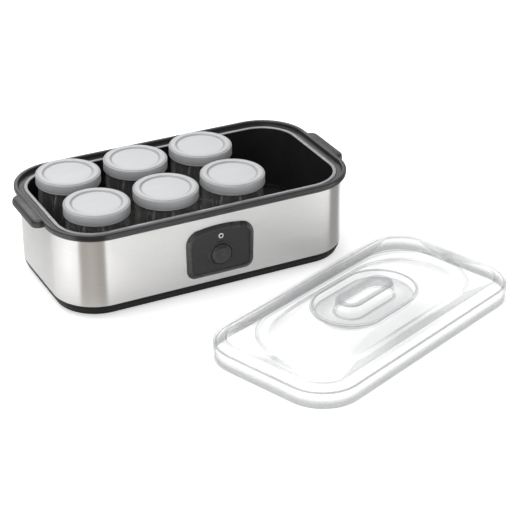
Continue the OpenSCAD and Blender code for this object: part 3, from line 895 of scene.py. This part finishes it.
@dataclass(frozen=True)
class Sizes:
    """Sizes that several pieces share, as in the solids."""

    machine: Place = Place(-48.0, 131.0)
    cover: Place = Place(60.8, -96.7, 0.0, 21.65)
    sleeve_l: float = 350.0
    sleeve_w: float = 187.0
    sleeve_r: float = 50.5
    sleeve_z0: float = 14.2
    sleeve_z1: float = 94.6
    rim_z1: float = 103.5
    seat_z: float = 98.6
    ledge_z: float = 97.45
    tub_floor: float = 26.0
    under_tub: float = 23.8
    panel_x: float = 2.5
    button_z: float = 47.5
    pilot_z: float = 69.6
    gland: Pair = (110.0, 36.0)
    jar_pitch_x: float = 81.6
    jar_pitch_y: float = 84.0
    jar_shift: float = 2.6
    jar_z: float = 25.2
    jar_h: float = 87.6

    def outline(self, profile: Array) -> Array:
        """Turns (offset from the sleeve, height) rows into sections of its outline."""
        s, z = profile[:, 0], profile[:, 1]
        return np.stack([self.sleeve_l / 2 + s, self.sleeve_w / 2 + s, self.sleeve_r + s, z], axis=-1)

    def front(self, z: float) -> Place:
        """Returns the place at height z on the panel's middle line that looks outwards."""
        y = self.machine.y - self.sleeve_w / 2
        return Place(self.machine.x + self.panel_x, y, z, 0.0, Facing.FRONT)

    def seat(self, column: float, row: float, z: float) -> Place:
        """Returns a jar's place; column and row count from the tub's middle."""
        x = self.machine.x + column * self.jar_pitch_x + self.jar_shift
        return Place(x, self.machine.y + row * self.jar_pitch_y, z)


SIZES = Sizes()


@dataclass
class Builder:
    """Puts finished pieces in the scene in place of the solids that they stand for."""

    finishes: Finishes

    def piece(self, name: str, skins: Sequence[Skin], place: Place, finish: Finish, body: str,
              node: str, slot: str, crease: float = CREASE) -> bpy.types.Object:
        """Makes one piece of the object.

        Args:
            name: name of the piece.
            skins: its closed surfaces.
            place: where it goes.
            finish: its finish.
            body: the body that it moves with.
            node: the solid that it stands for.
            slot: not used.
            crease: angle above which its edges stay sharp.

        Returns:
            The piece.
        """
        made = make_mesh(name, skins, place, crease)
        made.data.materials.append(self.finishes.get(finish))
        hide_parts(node)
        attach(made, body)
        LOG.info("%s: %d faces", name, len(made.data.polygons))
        return made

    def paint(self, piece: bpy.types.Object, finish: Finish, chosen: Array) -> None:
        """Gives the chosen faces of a piece a second finish."""
        piece.data.materials.append(self.finishes.get(finish))
        piece.data.polygons.foreach_set("material_index", chosen.astype(np.int32))

    def dress(self, node: str, finish: Finish) -> None:
        """Gives a solid of the frame its finish.

        Args:
            node: name of the solid.
            finish: its finish.
        """
        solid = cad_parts[node]
        if not solid.material_slots:
            solid.data.materials.append(self.finishes.get(finish))
        for slot in solid.material_slots:
            slot.material = self.finishes.get(finish)
        LOG.info("%s: dressed", node)


# ---------- sub-assemblies ----------


@dataclass
class PanelShape:
    """Outline of the control panel: an arched top over a flat bottom."""

    half: float = 41.0
    low: float = 22.0
    high: float = 82.7
    low_r: float = 10.0
    high_r: float = 17.0
    arch_r: float = 150.0
    arch_rise: float = 2.0
    lean: float = 1.1
    narrowing: float = 0.6
    steps: int = 14

    def curve(self, inset: float = 0.0) -> Curve:
        """Follows the outline by the direction it faces.

        Going round, each arc's point is its centre + (radius - inset) * direction, and
        the straights join the arcs where they share a direction.

        Args:
            inset: how far inside the outline the curve runs.

        Returns:
            The outline with its outward directions.
        """
        arch = math.degrees(math.asin((self.half - self.high_r) / self.arch_r))
        side, c = -self.lean, self.half - self.low_r - self.narrowing
        low, high = self.low + self.low_r, self.high - self.arch_rise - self.high_r
        arcs = [(c, low, self.low_r, -90, side),
                (self.half - self.high_r, high, self.high_r, side, 90 - arch),
                (0.0, self.high - self.arch_r, self.arch_r, 90 - arch, 90 + arch),
                (self.high_r - self.half, high, self.high_r, 90 + arch, 180 - side),
                (-c, low, self.low_r, 180 - side, 270)]
        points, outward = [], []
        for x, y, r, start, end in arcs:
            a = np.radians(np.linspace(start, end, self.steps + 1))
            way = np.stack([np.cos(a), np.sin(a)], axis=-1)
            points.append(np.array([x, y]) + (r - inset) * way)
            outward.append(way)
        return Curve(np.concatenate(points), np.concatenate(outward))

    def tool(self, name: str, inset: float, start: float, end: float) -> bpy.types.Object:
        """Makes a solid of the outline that reaches from start to end outwards."""
        rings = self.curve(inset).rings(np.array([[0.0, start], [0.0, end]]))
        return make_mesh(name, [Skin(rings, cap_first=True, cap_last=True)], SIZES.front(0))


def drum(
    name: str, radius: float, start: float, end: float, place: Place, sides: int = 64
) -> bpy.types.Object:
    """Makes a round solid along the place's own +Z, to cut a hole with."""
    rings = round_rings(np.array([[radius, start], [radius, end]]), sides)
    return make_mesh(name, [Skin(rings, cap_first=True, cap_last=True)], place)


@dataclass
class Housing:
    """Rim with its handles, steel sleeve and tub."""

    handle_tip: float = 191.0
    handle_w: float = 74.0
    handle_r: float = 9.0
    handle_root: float = 176.4
    seat_r: float = 33.6
    seat_deep: float = 0.8
    bosses: tuple[Pair, ...] = ((-104, -62), (104, -62), (-104, 62), (104, 62))
    gland_hole: Pair = (7.1, 6.1)
    panel_inset: float = 4.6
    steps: int = 24

    def rim_section(self) -> Array:
        """Works out the rim's section: a lip, a rounded outside, the cover's seat and a collar.

        Returns:
            Rows of offset from the sleeve, height.
        """
        s = SIZES
        under = np.radians(np.linspace(-90, 0, 10))
        curve = [[0.8 + 5 * math.cos(a), s.sleeve_z1 + 5 + 5 * math.sin(a)] for a in under]
        corners = [
            [-1.0, 86.0], [-1.0, s.sleeve_z1], *curve, [5.8, s.rim_z1], [0.9, s.rim_z1],
            [0.4, s.seat_z], [-5.4, s.seat_z], [-5.4, s.ledge_z], [-7.2, s.ledge_z],
            [-7.2, 95.55], [-3.0, 95.55], [-3.0, 86.0]]
        reach = [0.3, 0.2, *[0.0] * len(curve), 1.6, 1.6, 0.8, 0.2, 0.2, 0.2, 0.3, 0.3, 0.3]
        return closed_profile(corners, reach)

    def handle_curve(self) -> Curve:
        """Works out the plan of an end handle: a tab with two round outer corners.

        Returns:
            The plan with its outward directions.
        """
        tip, half, r, root = self.handle_tip, self.handle_w / 2, self.handle_r, self.handle_root
        a = np.radians(np.linspace(-90, 0, self.steps // 2))
        arc = np.stack([np.cos(a), np.sin(a)], axis=-1)
        first = np.array([tip - r, r - half]) + r * arc
        last = (first * [1, -1])[::-1]
        points = np.concatenate([[[root, -half]], first, last, [[root, half]]])
        outward = np.concatenate([[[-1, -1]], arc, (arc * [1, -1])[::-1], [[-1, 1]]])
        return Curve(points, outward)

    def handle(self) -> Skin:
        """Works out one end handle: a top that rolls down outwards, and a hollow below it.

        Returns:
            The handle at the +X end.
        """
        s = SIZES
        profile = arc_profile(
            [[-5.9, s.rim_z1 - 0.15], [-1.0, s.rim_z1 - 0.9], [0.0, 99.0], [0.0, 95.0],
             [-2.2, 95.0], [-2.2, 98.2], [-3.2, 100.6], [-6.2, 100.9]],
            [0.0, 3.4, 0.0, 0.6, 0.6, 1.0, 1.0, 0.0], 8)
        rings = self.handle_curve().rings(profile[::-1])
        return Skin(rings, cap_first=True, cap_last=True)

    def build(self, build: Builder) -> None:
        """Makes the housing's visible pieces.

        Args:
            build: puts pieces in the scene.
        """
        s = SIZES
        skins = [Skin(oblong_rings(s.outline(self.rim_section()), self.steps), wrap=True)]
        handle = self.handle()
        skins += [handle, Skin(handle.rings * [-1, -1, 1], cap_first=True, cap_last=True)]
        build.piece("rim", skins, s.machine, RIM, "housing", "top_rim", "rim_plastic", 38.0)
        self.sleeve(build)
        self.tub(build)

    def sleeve(self, build: Builder) -> None:
        """Makes the steel sleeve, open behind the panel and round the cord gland.

        Args:
            build: puts pieces in the scene.
        """
        s = SIZES
        sheet = closed_profile(
            [[0, s.sleeve_z0], [0, s.sleeve_z1], [-0.8, s.sleeve_z1], [-0.8, s.sleeve_z0]], [0.25] * 4)
        skin = Skin(oblong_rings(s.outline(sheet), self.steps, 10), wrap=True)
        piece = build.piece("sleeve", [skin], s.machine, STEEL, "housing", "steel_sleeve", "steel")
        hole = oblong_rings(np.array([[*self.gland_hole, 0.4, z] for z in (-3.0, 3.0)]), 2)
        y = s.machine.y + s.sleeve_w / 2
        back = Place(s.machine.x + s.gland[0], y, s.gland[1], 0.0, Facing.BACK)
        gland = make_mesh("gland_hole", [Skin(hole, cap_first=True, cap_last=True)], back)
        opening = PanelShape().tool("panel_hole", self.panel_inset, -3.0, 3.0)
        carve(piece, [opening, gland], CREASE)

    def tub(self, build: Builder) -> None:
        """Makes the tub: drafted walls with a flange, a floor with shallow seats, and screw bosses.

        Args:
            build: puts pieces in the scene.
        """
        s = SIZES
        corners = [
            [-24.0, s.under_tub], [-15.8, s.under_tub], [-13.7, 26.0], [-7.6, 96.85],
            [-7.2, s.ledge_z], [-5.6, s.ledge_z], [-5.6, 99.75], [-9.6, 99.75],
            [-16.1, s.tub_floor], [-24.0, s.tub_floor]]
        path = arc_profile(corners, [0, 1.4, 1.4, 0.4, 0.4, 0.3, 0.9, 0.9, 4.0, 0], 6)
        shell = oblong_rings(s.outline(path), self.steps, 14)
        wall = closed_profile(
            [[4.2, 10.2], [4.2, 24.4], [1.65, 24.4], [1.65, 10.2]], [0.4, 0, 0, 0.3])
        skins = [Skin(shell, cap_first=True, cap_last=True)]
        skins += [Skin(round_rings(wall, 32) + [*boss, 0.0], wrap=True) for boss in self.bosses]
        piece = build.piece("tub", skins, s.machine, TUB, "housing", "inner_tub", "tub_plastic")
        grid = [(column, row) for column in (-1.5, -0.5, 0.5, 1.5) for row in (-0.5, 0.5)]
        carve(piece, [
            drum(f"seat_{i}", self.seat_r, -self.seat_deep, 3.0, s.seat(*at, s.tub_floor), 96)
            for i, at in enumerate(grid)], CREASE)
        # Painted sheen: the faces above the ledge, the flange top, get a light grey.
        build.paint(piece, FLANGE_PAINTED_SHEEN, face_middles(piece)[:, 2] > s.ledge_z + 0.2)


@dataclass
class Panel:
    """Control panel: frame, face with the button's collar, push button and pilot ring."""

    shape: PanelShape = field(default_factory=PanelShape)
    face_inset: float = 5.7
    button_r: float = 12.0
    button_gap: float = 0.8
    dome_r: float = 22.0
    dome_top: float = 7.6
    dish_r: float = 7.4
    dish_z: float = 5.75
    pilot_hole_r: float = 3.2
    core_r: float = 1.6
    coil_r: float = 5.0
    wire_r: float = 0.4
    turns: int = 4
    travel: float = 3.0

    def front_piece(self, build: Builder, name: str, skins: Sequence[Skin], z: float, finish: Finish,
                    node: str, slot: str, crease: float = 34.0) -> bpy.types.Object:
        """Returns a new piece of the housing on the middle line of the panel, at height z."""
        place = SIZES.front(z)
        return build.piece(name, skins, place, finish, "housing", node, slot, crease)

    def frame(self, build: Builder) -> None:
        """Makes the frame with its wide chamfer and the collar through the sleeve.

        Args:
            build: puts pieces in the scene.
        """
        section = closed_profile(
            [[0, 0], [0, 1.0], [-4.0, 3.4], [-5.5, 3.4], [-5.5, 1.0], [-7.2, 1.0], [-7.2, -4.0],
             [-4.8, -4.0], [-4.8, 0.0]],
            [0.2, 0.5, 1.4, 0.4, 0, 0, 0.3, 0.3, 0])
        skin = Skin(self.shape.curve().rings(section), wrap=True)
        self.front_piece(build, "panel_frame", [skin], 0, PANEL, "panel_bezel", "panel_plastic")

    def face(self, build: Builder) -> None:
        """Makes the face, open for the button and the pilot ring, with a rounded collar.

        Args:
            build: puts pieces in the scene.
        """
        s, r = SIZES, self.button_r
        names = ("panel_face", "panel_plastic")
        edge = np.array([[0.0, 1.0], [0.0, 2.6], [-0.2, 2.8]])
        plate = Skin(self.shape.curve(self.face_inset).rings(edge), cap_first=True, cap_last=True)
        piece = self.front_piece(build, "panel_face", [plate], 0, FACE, *names)
        button_hole = drum("button_hole", r + self.button_gap, -1.0, 6.0, s.front(s.button_z))
        pilot_hole = drum("pilot_hole", self.pilot_hole_r, -1.0, 6.0, s.front(s.pilot_z), 32)
        carve(piece, [button_hole, pilot_hole], 34.0)
        ring = closed_profile(
            [[r + 0.4, 0.9], [r + 4.0, 0.9], [r + 4.0, 2.85], [r + 2.0, 3.7], [r + 0.4, 3.7]],
            [0.1, 0.1, 1.2, 0.7, 0.5], 6)
        post = arc_profile([[0, -4.4], [2.6, -4.4], [2.6, 1.4], [0, 1.4]], [0, 0.3, 0, 0])
        skins = [Skin(round_rings(ring), wrap=True)]
        skins += [Skin(round_rings(post, 32) + [x, 0.0, 0.0]) for x in (-19.0, 19.0)]
        self.front_piece(build, "button_collar", skins, s.button_z, FACE, *names)

    def button(self, build: Builder) -> None:
        """Makes the push button: a dome with a shallow dish, a stop flange and a stem.

        The dome's height at distance x from the middle is top - R + sqrt(R^2 - x^2).

        Args:
            build: puts pieces in the scene.
        """
        s, r = SIZES, self.button_r
        sunk = self.dome_top - self.dome_r
        under = [[0, -6.6], [2, -6.6], [2, 3.0], [r - 1.6, 3.0], [r - 1.6, -0.9], [r + 1.6, -0.9],
                 [r + 1.6, 0.7], [r, 0.7]]
        side = arc_profile(under, [0, 0.4, 0.3, 0.4, 0.2, 0.3, 0.3, 0.2])
        t = np.linspace(0.0, 1.0, 9)[:, None]
        edge_z = sunk + math.sqrt(self.dome_r**2 - r**2)
        key = np.array([[r, edge_z - 0.8], [r, edge_z + 0.35], [r - 1.3, edge_z + 1.0]])
        bend = (1 - t) ** 2 * key[0] + 2 * t * (1 - t) * key[1] + t**2 * key[2]
        span = np.linspace(r - 1.3, self.dish_r + 0.8, 8)[1:]
        dome = np.stack([span, sunk + np.sqrt(self.dome_r**2 - span**2)], axis=-1)
        lip = [self.dish_r - 0.3, dome[-1, 1] + 0.3]
        floor = [[self.dish_r - 2.2, self.dish_z + 0.12], [0, self.dish_z - 0.15]]
        dish = arc_profile([dome[-1], lip, *floor], [0, 0.8, 2.0, 0], 6)[1:]
        skin = Skin(round_rings(np.concatenate([side, bend, dome, dish]), 96))
        place, names = s.front(s.button_z), ("button", "power_button", "button_plastic")
        build.piece("button", [skin], place, BUTTON, *names, 40.0)

    def spring(self, build: Builder) -> None:
        """Makes the return spring at the length of its solid; it does not shorten as the button goes in.

        The wire's middle runs along (r cos a, r sin a, rise * t), and the wire is
        round: its skin is that point + w (cos b * outwards - sin b * upwards).

        Args:
            build: puts pieces in the scene.
        """
        s, wire = SIZES, self.wire_r
        low, high = (np.array(corner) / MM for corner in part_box("button_spring"))
        front = s.machine.y - s.sleeve_w / 2
        start, end = front - high[1] + wire, front - low[1] - wire
        length = end - start
        t = np.linspace(0.0, 1.0, self.turns * 24 + 1)[:, None]
        a, b = 2 * math.pi * self.turns * t, np.radians(np.arange(0, 360, 45))
        reach, rise = self.coil_r + wire * np.cos(b), start + length * t - wire * np.sin(b)
        rings = np.stack([reach * np.cos(a), reach * np.sin(a), rise], axis=-1)
        skin, names = Skin(rings, cap_first=True, cap_last=True), ("button_spring", "screw_steel")
        piece = self.front_piece(build, "return_spring", [skin], s.button_z, ZINC, *names, CREASE)
        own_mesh(piece)

    def pilot(self, build: Builder) -> None:
        """Makes the white ring of the pilot lamp, dark in its middle.

        Args:
            build: puts pieces in the scene.
        """
        s = SIZES
        section = [[0, -0.2], [4.3, -0.2], [4.3, 0.9], [3.1, 0.9], [3.1, 3.3], [1.5, 3.3],
                   [1.5, 0.9], [0, 0.9]]
        skin = Skin(round_rings(arc_profile(section, [0, 0.2, 0.2, 0.1, 0.5, 0.4, 0.1, 0]), 48))
        names = ("pilot_ring", "white_plastic")
        piece = self.front_piece(build, "pilot_ring", [skin], s.pilot_z, PILOT, *names, CREASE)
        reach = face_middles(piece)[:, [0, 2]] - [s.machine.x + s.panel_x, s.pilot_z]
        build.paint(piece, CORE, np.hypot(reach[:, 0], reach[:, 1]) < self.core_r)

    def build(self, build: Builder) -> None:
        """Makes the panel's pieces.

        Args:
            build: puts pieces in the scene.
        """
        for make in (self.frame, self.face, self.button, self.spring, self.pilot):
            make(build)


@dataclass
class Jars:
    """Glass jars and their push-on lids."""

    count: int = 6
    columns: int = 3

    def place(self, number: int) -> Place:
        """Place of a jar: the front row first, each row from the -X end."""
        column, row = (number - 1) % self.columns, (number - 1) // self.columns
        return SIZES.seat(column - 1.5, row - 0.5, SIZES.jar_z)

    def glass_profile(self) -> Array:
        """Works out a jar's section, from the middle of its underside to that of its floor.

        Returns:
            Rows of radius, height.
        """
        h = SIZES.jar_h
        corners = [
            [0, 1.4], [22, 1.0], [26.5, 0], [33, 0], [33.4, 6], [34.5, 14], [34.5, h - 21.5],
            [33.2, h - 14], [33.2, h - 6.4], [34.3, h - 5.8], [34.3, h - 2.9], [33.2, h - 2],
            [33.1, h], [30.6, h], [30.6, h - 14], [31.9, h - 21.5], [31.9, 14], [31.2, 4.2],
            [26, 3.6], [0, 4.4]]
        reach = [0, 1.5, 1, 3.4, 2.5, 5, 7, 3, 0.8, 0.9, 0.9, 0.8, 1.1, 1.1, 2.5, 5, 5, 4, 2, 0]
        return arc_profile(corners, reach, 6)

    def lid_profile(self) -> Array:
        """Works out a lid's section, from the middle of its underside to that of its top.

        Outside the sunk and slightly domed middle come a fine double ridge, a raised
        ring with a small step near its edge, and a skirt with a thin lip.

        Returns:
            Rows of radius, height.
        """
        h = SIZES.jar_h
        top = h + 2
        corners = [
            [0, h - 1.3], [28.6, h - 1.3], [28.6, h - 3.4], [29.8, h - 3.4], [30.2, h - 2.8],
            [30.2, h], [34.9, h], [34.9, h - 9.9], [36.3, h - 9.9], [36.6, h - 9.4],
            [36.6, h - 8.6], [36.3, h - 8.2], [36.3, h - 7.6], [36.5, h - 7.2], [36.5, top - 1.3],
            [35.6, top - 0.7], [34.9, top - 0.7], [34.4, top], [28.9, top], [28.3, top - 0.4],
            [28.0, top - 0.9], [27.6, top - 1.2], [27.1, top - 1.1], [26.7, top - 1.5],
            [25.8, top - 1.5], [12, top - 1.1], [0, top - 1.0]]
        reach = [0, 0.4, 0.3, 0.3, 0.3, 0.3, 0.4, 0.3, 0.3, 0.3, 0.3, 0.2, 0.2, 0.2, 0.9, 0.3,
                 0.2, 0.5, 0.5, 0.2, 0.2, 0.2, 0.2, 0.2, 0.8, 6.0, 0]
        return arc_profile(corners, reach, 4)

    def build(self, build: Builder) -> None:
        """Makes the jars and lids.

        Args:
            build: puts pieces in the scene.
        """
        jar, lid = round_rings(self.glass_profile()), round_rings(self.lid_profile())
        for i in range(1, self.count + 1):
            for name, rings, finish, node, slot, crease in (
                    ("glass_jar", jar, GLASS, f"jar_{i}", "jar_glass", CREASE),
                    ("lid", lid, LID, f"jar_lid_{i}", "lid_plastic", 50.0)):
                skins, place = [Skin(rings)], self.place(i)
                mark_bends(build.piece(
                    f"{name}_{i}", skins, place, finish, f"{node}_body", node, slot, crease))


@dataclass
class Cover:
    """Clear cover, moulded in one piece, with a dish, a well and a hollow grip."""

    length: float = 341.4
    width: float = 180.2
    corner: float = 47.0
    wall: float = 2.0
    top: float = 24.0
    dome: float = 33.0
    grip: float = 40.2
    steps: int = 24

    def inset(self, d: float, z: float) -> list[float]:
        """Returns the outer outline moved inwards by d, at height z."""
        return [self.length / 2 - d, self.width / 2 - d, self.corner - d, z]

    def stadium(self, half_l: float, half_w: float, z: float) -> list[float]:
        """Returns an outline with full round ends, at height z."""
        return [half_l, half_w, half_w, z]

    def sections(self) -> Array:
        """Works out the outer surface from the skirt's edge to the top of the grip.

        The dish's floor rises to the well as a quarter of a sine wave.

        Returns:
            Rows of half length, half width, corner radius, height.
        """
        inset, stadium = self.inset, self.stadium
        moat, rim = stadium(130.3, 56.5, self.top - 5), stadium(67.3, 42.3, self.dome)
        t = np.linspace(0, 1, 20)[:, None]
        floor = np.array(moat) + (np.array(rim) - np.array(moat)) * t
        floor[:, 3:] = moat[3] + (rim[3] - moat[3]) * np.sin(0.5 * math.pi * t)
        edge = arc_profile(
            [inset(0, 0), inset(0, 18.4), inset(4.4, 19.0), inset(9.5, 20.6),
             inset(13.4, self.top), stadium(141.8, 65.5, self.top), stadium(138.6, 62.8, 20.6), moat],
            [0, 4, 0, 2.5, 2, 2.6, 2.2, 0], 8)
        well = arc_profile(
            [rim, stadium(64.5, 39.5, self.dome), stadium(62.2, 37.2, self.top + 0.2),
             stadium(43.2, 18.7, self.top + 0.2), stadium(42, 17.5, self.top + 1),
             stadium(40.2, 15.7, self.grip), stadium(30, 6, self.grip)],
            [0, 2, 2, 1, 0.5, 2.4, 0], 8)
        return np.concatenate([edge[:-1], floor[:-1], well])

    def inner(self, outer: Array) -> Array:
        """Moves each outline into the wall, square to the surface's slope.

        Args:
            outer: outlines of the outer surface.

        Returns:
            Outlines of the inner surface.
        """
        run = np.gradient(outer[:, [0, 3]], axis=0)
        run[0], run[-1] = (0.0, 1.0), (-1.0, 0.0)
        normal = np.stack([-run[:, 1], run[:, 0]], axis=-1)
        normal /= np.linalg.norm(run, axis=1, keepdims=True)
        moved = outer.copy()
        moved[:, :3] += self.wall * normal[:, :1]
        moved[:, 3] += self.wall * normal[:, 1]
        return moved

    def build(self, build: Builder) -> None:
        """Makes the cover.

        Args:
            build: puts pieces in the scene.
        """
        outer = self.sections()
        path = np.concatenate([self.inner(outer)[::-1], outer])
        skin = Skin(oblong_rings(path, self.steps, 12), cap_first=True, cap_last=True)
        names = ("cover", "clear_cover", "clear_plastic")
        mark_bends(build.piece("cover", [skin], SIZES.cover, POLYSTYRENE, *names, 60.0))


@dataclass
class InnerParts:
    """Solids of the frame that keep their shape and get their finish."""

    finishes: dict[str, Finish] = field(default_factory=lambda: {
        "base_pan": BASE, "pilot_lamp": LENS, "cord_gland": RUBBER, "base_screws": ZINC,
        "board_screws": ZINC, "heater_plate": ALUMINIUM, "heating_cord": SILICONE,
        "thermostat": CAN, "thermal_fuse": CERAMIC, "terminal_block": NYLON,
        "lead_wires": SLEEVING, "power_switch": SWITCH, "switch_board": BOARD,
        **{f"foot_{i}": RUBBER for i in range(1, 5)}})

    def build(self, build: Builder) -> None:
        """Dresses the solids.

        Args:
            build: gives each solid its finish.
        """
        for node, finish in self.finishes.items():
            build.dress(node, finish)


# ---------- studio ----------


def bare_material(name: str) -> tuple[bpy.types.Material, Nodes]:
    """Starts a material with no shader yet.

    Args:
        name: name of the material.

    Returns:
        The material and its nodes.
    """
    material, nodes, shader = new_material(name)
    nodes.tree.nodes.remove(shader)
    return material, nodes


def stage_sheet(name: str, corners: Array, material: bpy.types.Material) -> bpy.types.Object:
    """Makes a flat sheet of the studio, which is no part of the set.

    Args:
        name: name of the sheet.
        corners: its four corners, in metres.
        material: its material.

    Returns:
        The sheet.
    """
    mesh = bpy.data.meshes.new(name)
    mesh.from_pydata(corners.tolist(), [], [(0, 1, 2, 3)])
    mesh.materials.append(material)
    sheet = add_object(name, mesh)
    return sheet


@dataclass
class Studio:
    """Pale floor, soft lamps and the camera.

    The floor's glow and the surrounding have one strength for gloss and another for
    the camera; what gloss shows of the floor holds painted shade near and behind the
    machine. Each pair is a range: a distance or a direction, and its strengths.
    """

    azimuth: float = -27.03
    elevation: float = 28.59
    distance: float = 1973.5
    lens: float = 118.83
    target: Pair = (25.1, 79.4)
    floor_half: float = 12.0
    paper: Colour = (0.86, 0.86, 0.86)
    floor_lift: float = 0.52
    machine_inner: Point = (0.1245, 0.043, 0.0)
    # Painted shade in the floor's reflections: near the machine's foot and behind it.
    painted_foot_shade_reach: Pair = (0.06, 0.22)
    painted_foot_shade_glow: Pair = (0.12, 1.15)
    painted_back_shade_reach: Pair = (0.08, 0.26)
    painted_back_shade_glow: Pair = (1.0, 0.2)
    soft_light: float = 0.55
    bright_way: Point = (0.4, 0.75, 0.53)
    bright_reach: Pair = (0.3, 0.95)
    bright_glow: Pair = (0.3, 0.8)

    def camera(self) -> None:
        """Places the camera on its line through the target."""
        a, e = math.radians(self.azimuth), math.radians(self.elevation)
        back = Vector((math.sin(a) * math.cos(e), -math.cos(a) * math.cos(e), math.sin(e)))
        camera = add_object("camera", bpy.data.cameras.new("camera"))
        camera.data.lens, camera.data.sensor_width = self.lens, 36.0
        camera.data.clip_start, camera.data.clip_end = 0.05, 50.0
        camera.location = (Vector((*self.target, 0.0)) + back * self.distance) * MM
        camera.rotation_euler = (-back).to_track_quat("-Z", "Y").to_euler()
        bpy.context.scene.camera = camera

    def seen(self, nodes: Nodes, path: bpy.types.Node) -> Socket:
        """Returns 1 for rays from the camera or through clear pieces, and 0 for others."""
        straight = (path.outputs["Is Camera Ray"], path.outputs["Is Transmission Ray"])
        return nodes.maths("MAXIMUM", *straight)

    def floor(self) -> None:
        """Makes the floor, which keeps the object's shadow and looks white.

        What gloss shows of it gets dimmer towards the machine's foot, a painted shadow, by
        the distance from the machine's inner rectangle: the length of max(|p - middle| - half, 0).
        It also gets dimmer behind the machine, along +Y: painted shade as well.
        """
        material, nodes = bare_material("floor_white")
        paper = nodes.add("ShaderNodeBsdfDiffuse", {"Color": rgba(self.paper)})
        path = nodes.add("ShaderNodeLightPath")
        spot = nodes.add("ShaderNodeTexCoord").outputs["Object"]
        middle = (SIZES.machine.x * MM, SIZES.machine.y * MM, 0.0)
        away = nodes.vector("SUBTRACT", spot, middle).outputs[0]
        away = nodes.vector("ABSOLUTE", away).outputs[0]
        away = nodes.vector("SUBTRACT", away, self.machine_inner).outputs[0]
        away = nodes.vector("MAXIMUM", away).outputs[0]
        reach = nodes.vector("LENGTH", away).outputs["Value"]
        # Painted shadow that only gloss shows: dimmer near the machine's foot and behind it.
        near = nodes.fit(reach, self.painted_foot_shade_reach, self.painted_foot_shade_glow)
        depth = nodes.add("ShaderNodeSeparateXYZ", {0: spot}).outputs["Y"]
        behind = nodes.fit(depth, self.painted_back_shade_reach, self.painted_back_shade_glow)
        near = nodes.maths("MULTIPLY", near, behind)
        glossy = nodes.maths("MULTIPLY", path.outputs["Is Glossy Ray"], near)
        plain = nodes.maths("MULTIPLY", self.seen(nodes, path), self.floor_lift)
        power = nodes.maths("MAXIMUM", plain, glossy)
        lift = nodes.add("ShaderNodeEmission", {"Color": WHITE, "Strength": power})
        nodes.show(nodes.add("ShaderNodeAddShader", {0: paper.outputs[0], 1: lift.outputs[0]}))
        corners = np.array([(-1, -1, 0), (1, -1, 0), (1, 1, 0), (-1, 1, 0)]) * self.floor_half
        stage_sheet("floor", corners, material)

    def lamp(self, name: str, place: Point, aim: Point, size: Pair, power: float) -> None:
        """Adds one soft lamp.

        Args:
            name: name of the lamp.
            place: where it is, in metres.
            aim: what it points at, in metres.
            size: its width and height, in metres.
            power: its power in watts.
        """
        lamp = add_object(name, bpy.data.lights.new(name, "AREA"))
        lamp.data.shape, lamp.data.energy = "RECTANGLE", power
        lamp.data.size, lamp.data.size_y = size
        lamp.location = place
        lamp.rotation_euler = (Vector(aim) - Vector(place)).to_track_quat("-Z", "Y").to_euler()
        lamp.visible_camera = False

    def card(self, name: str, middle: Pair, turn: float, size: Pair, colour: Colour) -> None:
        """Stands a card beside the set that only gloss shows.

        Args:
            name: name of the card.
            middle: middle of its lower edge, in millimetres.
            turn: the direction that it faces away from the machine, in degrees from +X.
            size: its width and height, in millimetres.
            colour: its colour.
        """
        a = math.radians(turn)
        along = np.array([-math.sin(a), math.cos(a), 0.0]) * size[0] / 2
        foot, top = np.array([*middle, 1.0]), np.array([0.0, 0.0, size[1]])
        corners = np.array([foot - along, foot - along + top, foot + along + top, foot + along])
        material, nodes = bare_material(name)
        nodes.show(nodes.add("ShaderNodeEmission", {"Color": rgba(colour), "Strength": 1.0}))
        card = stage_sheet(name, corners * MM, material)
        card.visible_camera = card.visible_diffuse = False
        card.visible_shadow = card.visible_transmission = False

    def world(self) -> None:
        """Makes a white surrounding that lights softly; gloss shows it bright behind and above."""
        world = bpy.data.worlds.new("studio")
        bpy.context.scene.world = world
        world.use_nodes = True
        nodes = Nodes(world.node_tree)
        path = nodes.add("ShaderNodeLightPath")
        soft = world.node_tree.nodes["Background"]
        nodes.feed(soft, {"Color": WHITE, "Strength": self.soft_light})
        white = nodes.add("ShaderNodeBackground", {"Color": WHITE, "Strength": 1.0})
        way = nodes.add("ShaderNodeTexCoord").outputs["Generated"]
        lean = nodes.vector("DOT_PRODUCT", way, self.bright_way).outputs["Value"]
        strength = nodes.fit(lean, self.bright_reach, self.bright_glow)
        ceiling = nodes.add("ShaderNodeBackground", {"Color": WHITE, "Strength": strength})
        gloss = nodes.mix(path.outputs["Is Glossy Ray"], soft, ceiling)
        nodes.show(nodes.mix(self.seen(nodes, path), gloss, white))

    def build(self) -> None:
        """Makes the camera, floor, lamps and surrounding."""
        self.camera()
        self.floor()
        self.lamp("key", (-0.5, 0.5, 1.9), (0.0, 0.05, 0.05), (1.3, 1.3), 22.0)
        self.lamp("window", (0.55, 2.85, 1.95), (-0.1, 0.1, 0.1), (1.7, 0.8), 12.0)
        self.lamp("fill", (-1.2, -1.6, 1.0), (0.0, 0.0, 0.05), (1.2, 1.2), 8.0)
        self.card("card_left", (-203.7, 27.3), 246.6, (54.0, 240.0), (0.4, 0.365, 0.33))
        self.card("card_end", (-250.0, 185.0), 180.0, (110.0, 300.0), (0.8, 0.8, 0.795))
        self.card("card_right", (122.0, 45.4), -32.5, (34.0, 240.0), (0.4, 0.39, 0.38))
        self.world()
        bpy.context.scene.view_settings.view_transform = "Standard"


def main() -> None:
    """Builds every sub-assembly in order."""
    logging.basicConfig(level=logging.INFO, format="%(message)s")
    Studio().build()
    build = Builder(Finishes())
    for part in (Housing(), Panel(), Jars(), Cover(), InnerParts()):
        part.build(build)


if __name__ == "__main__":
    main()
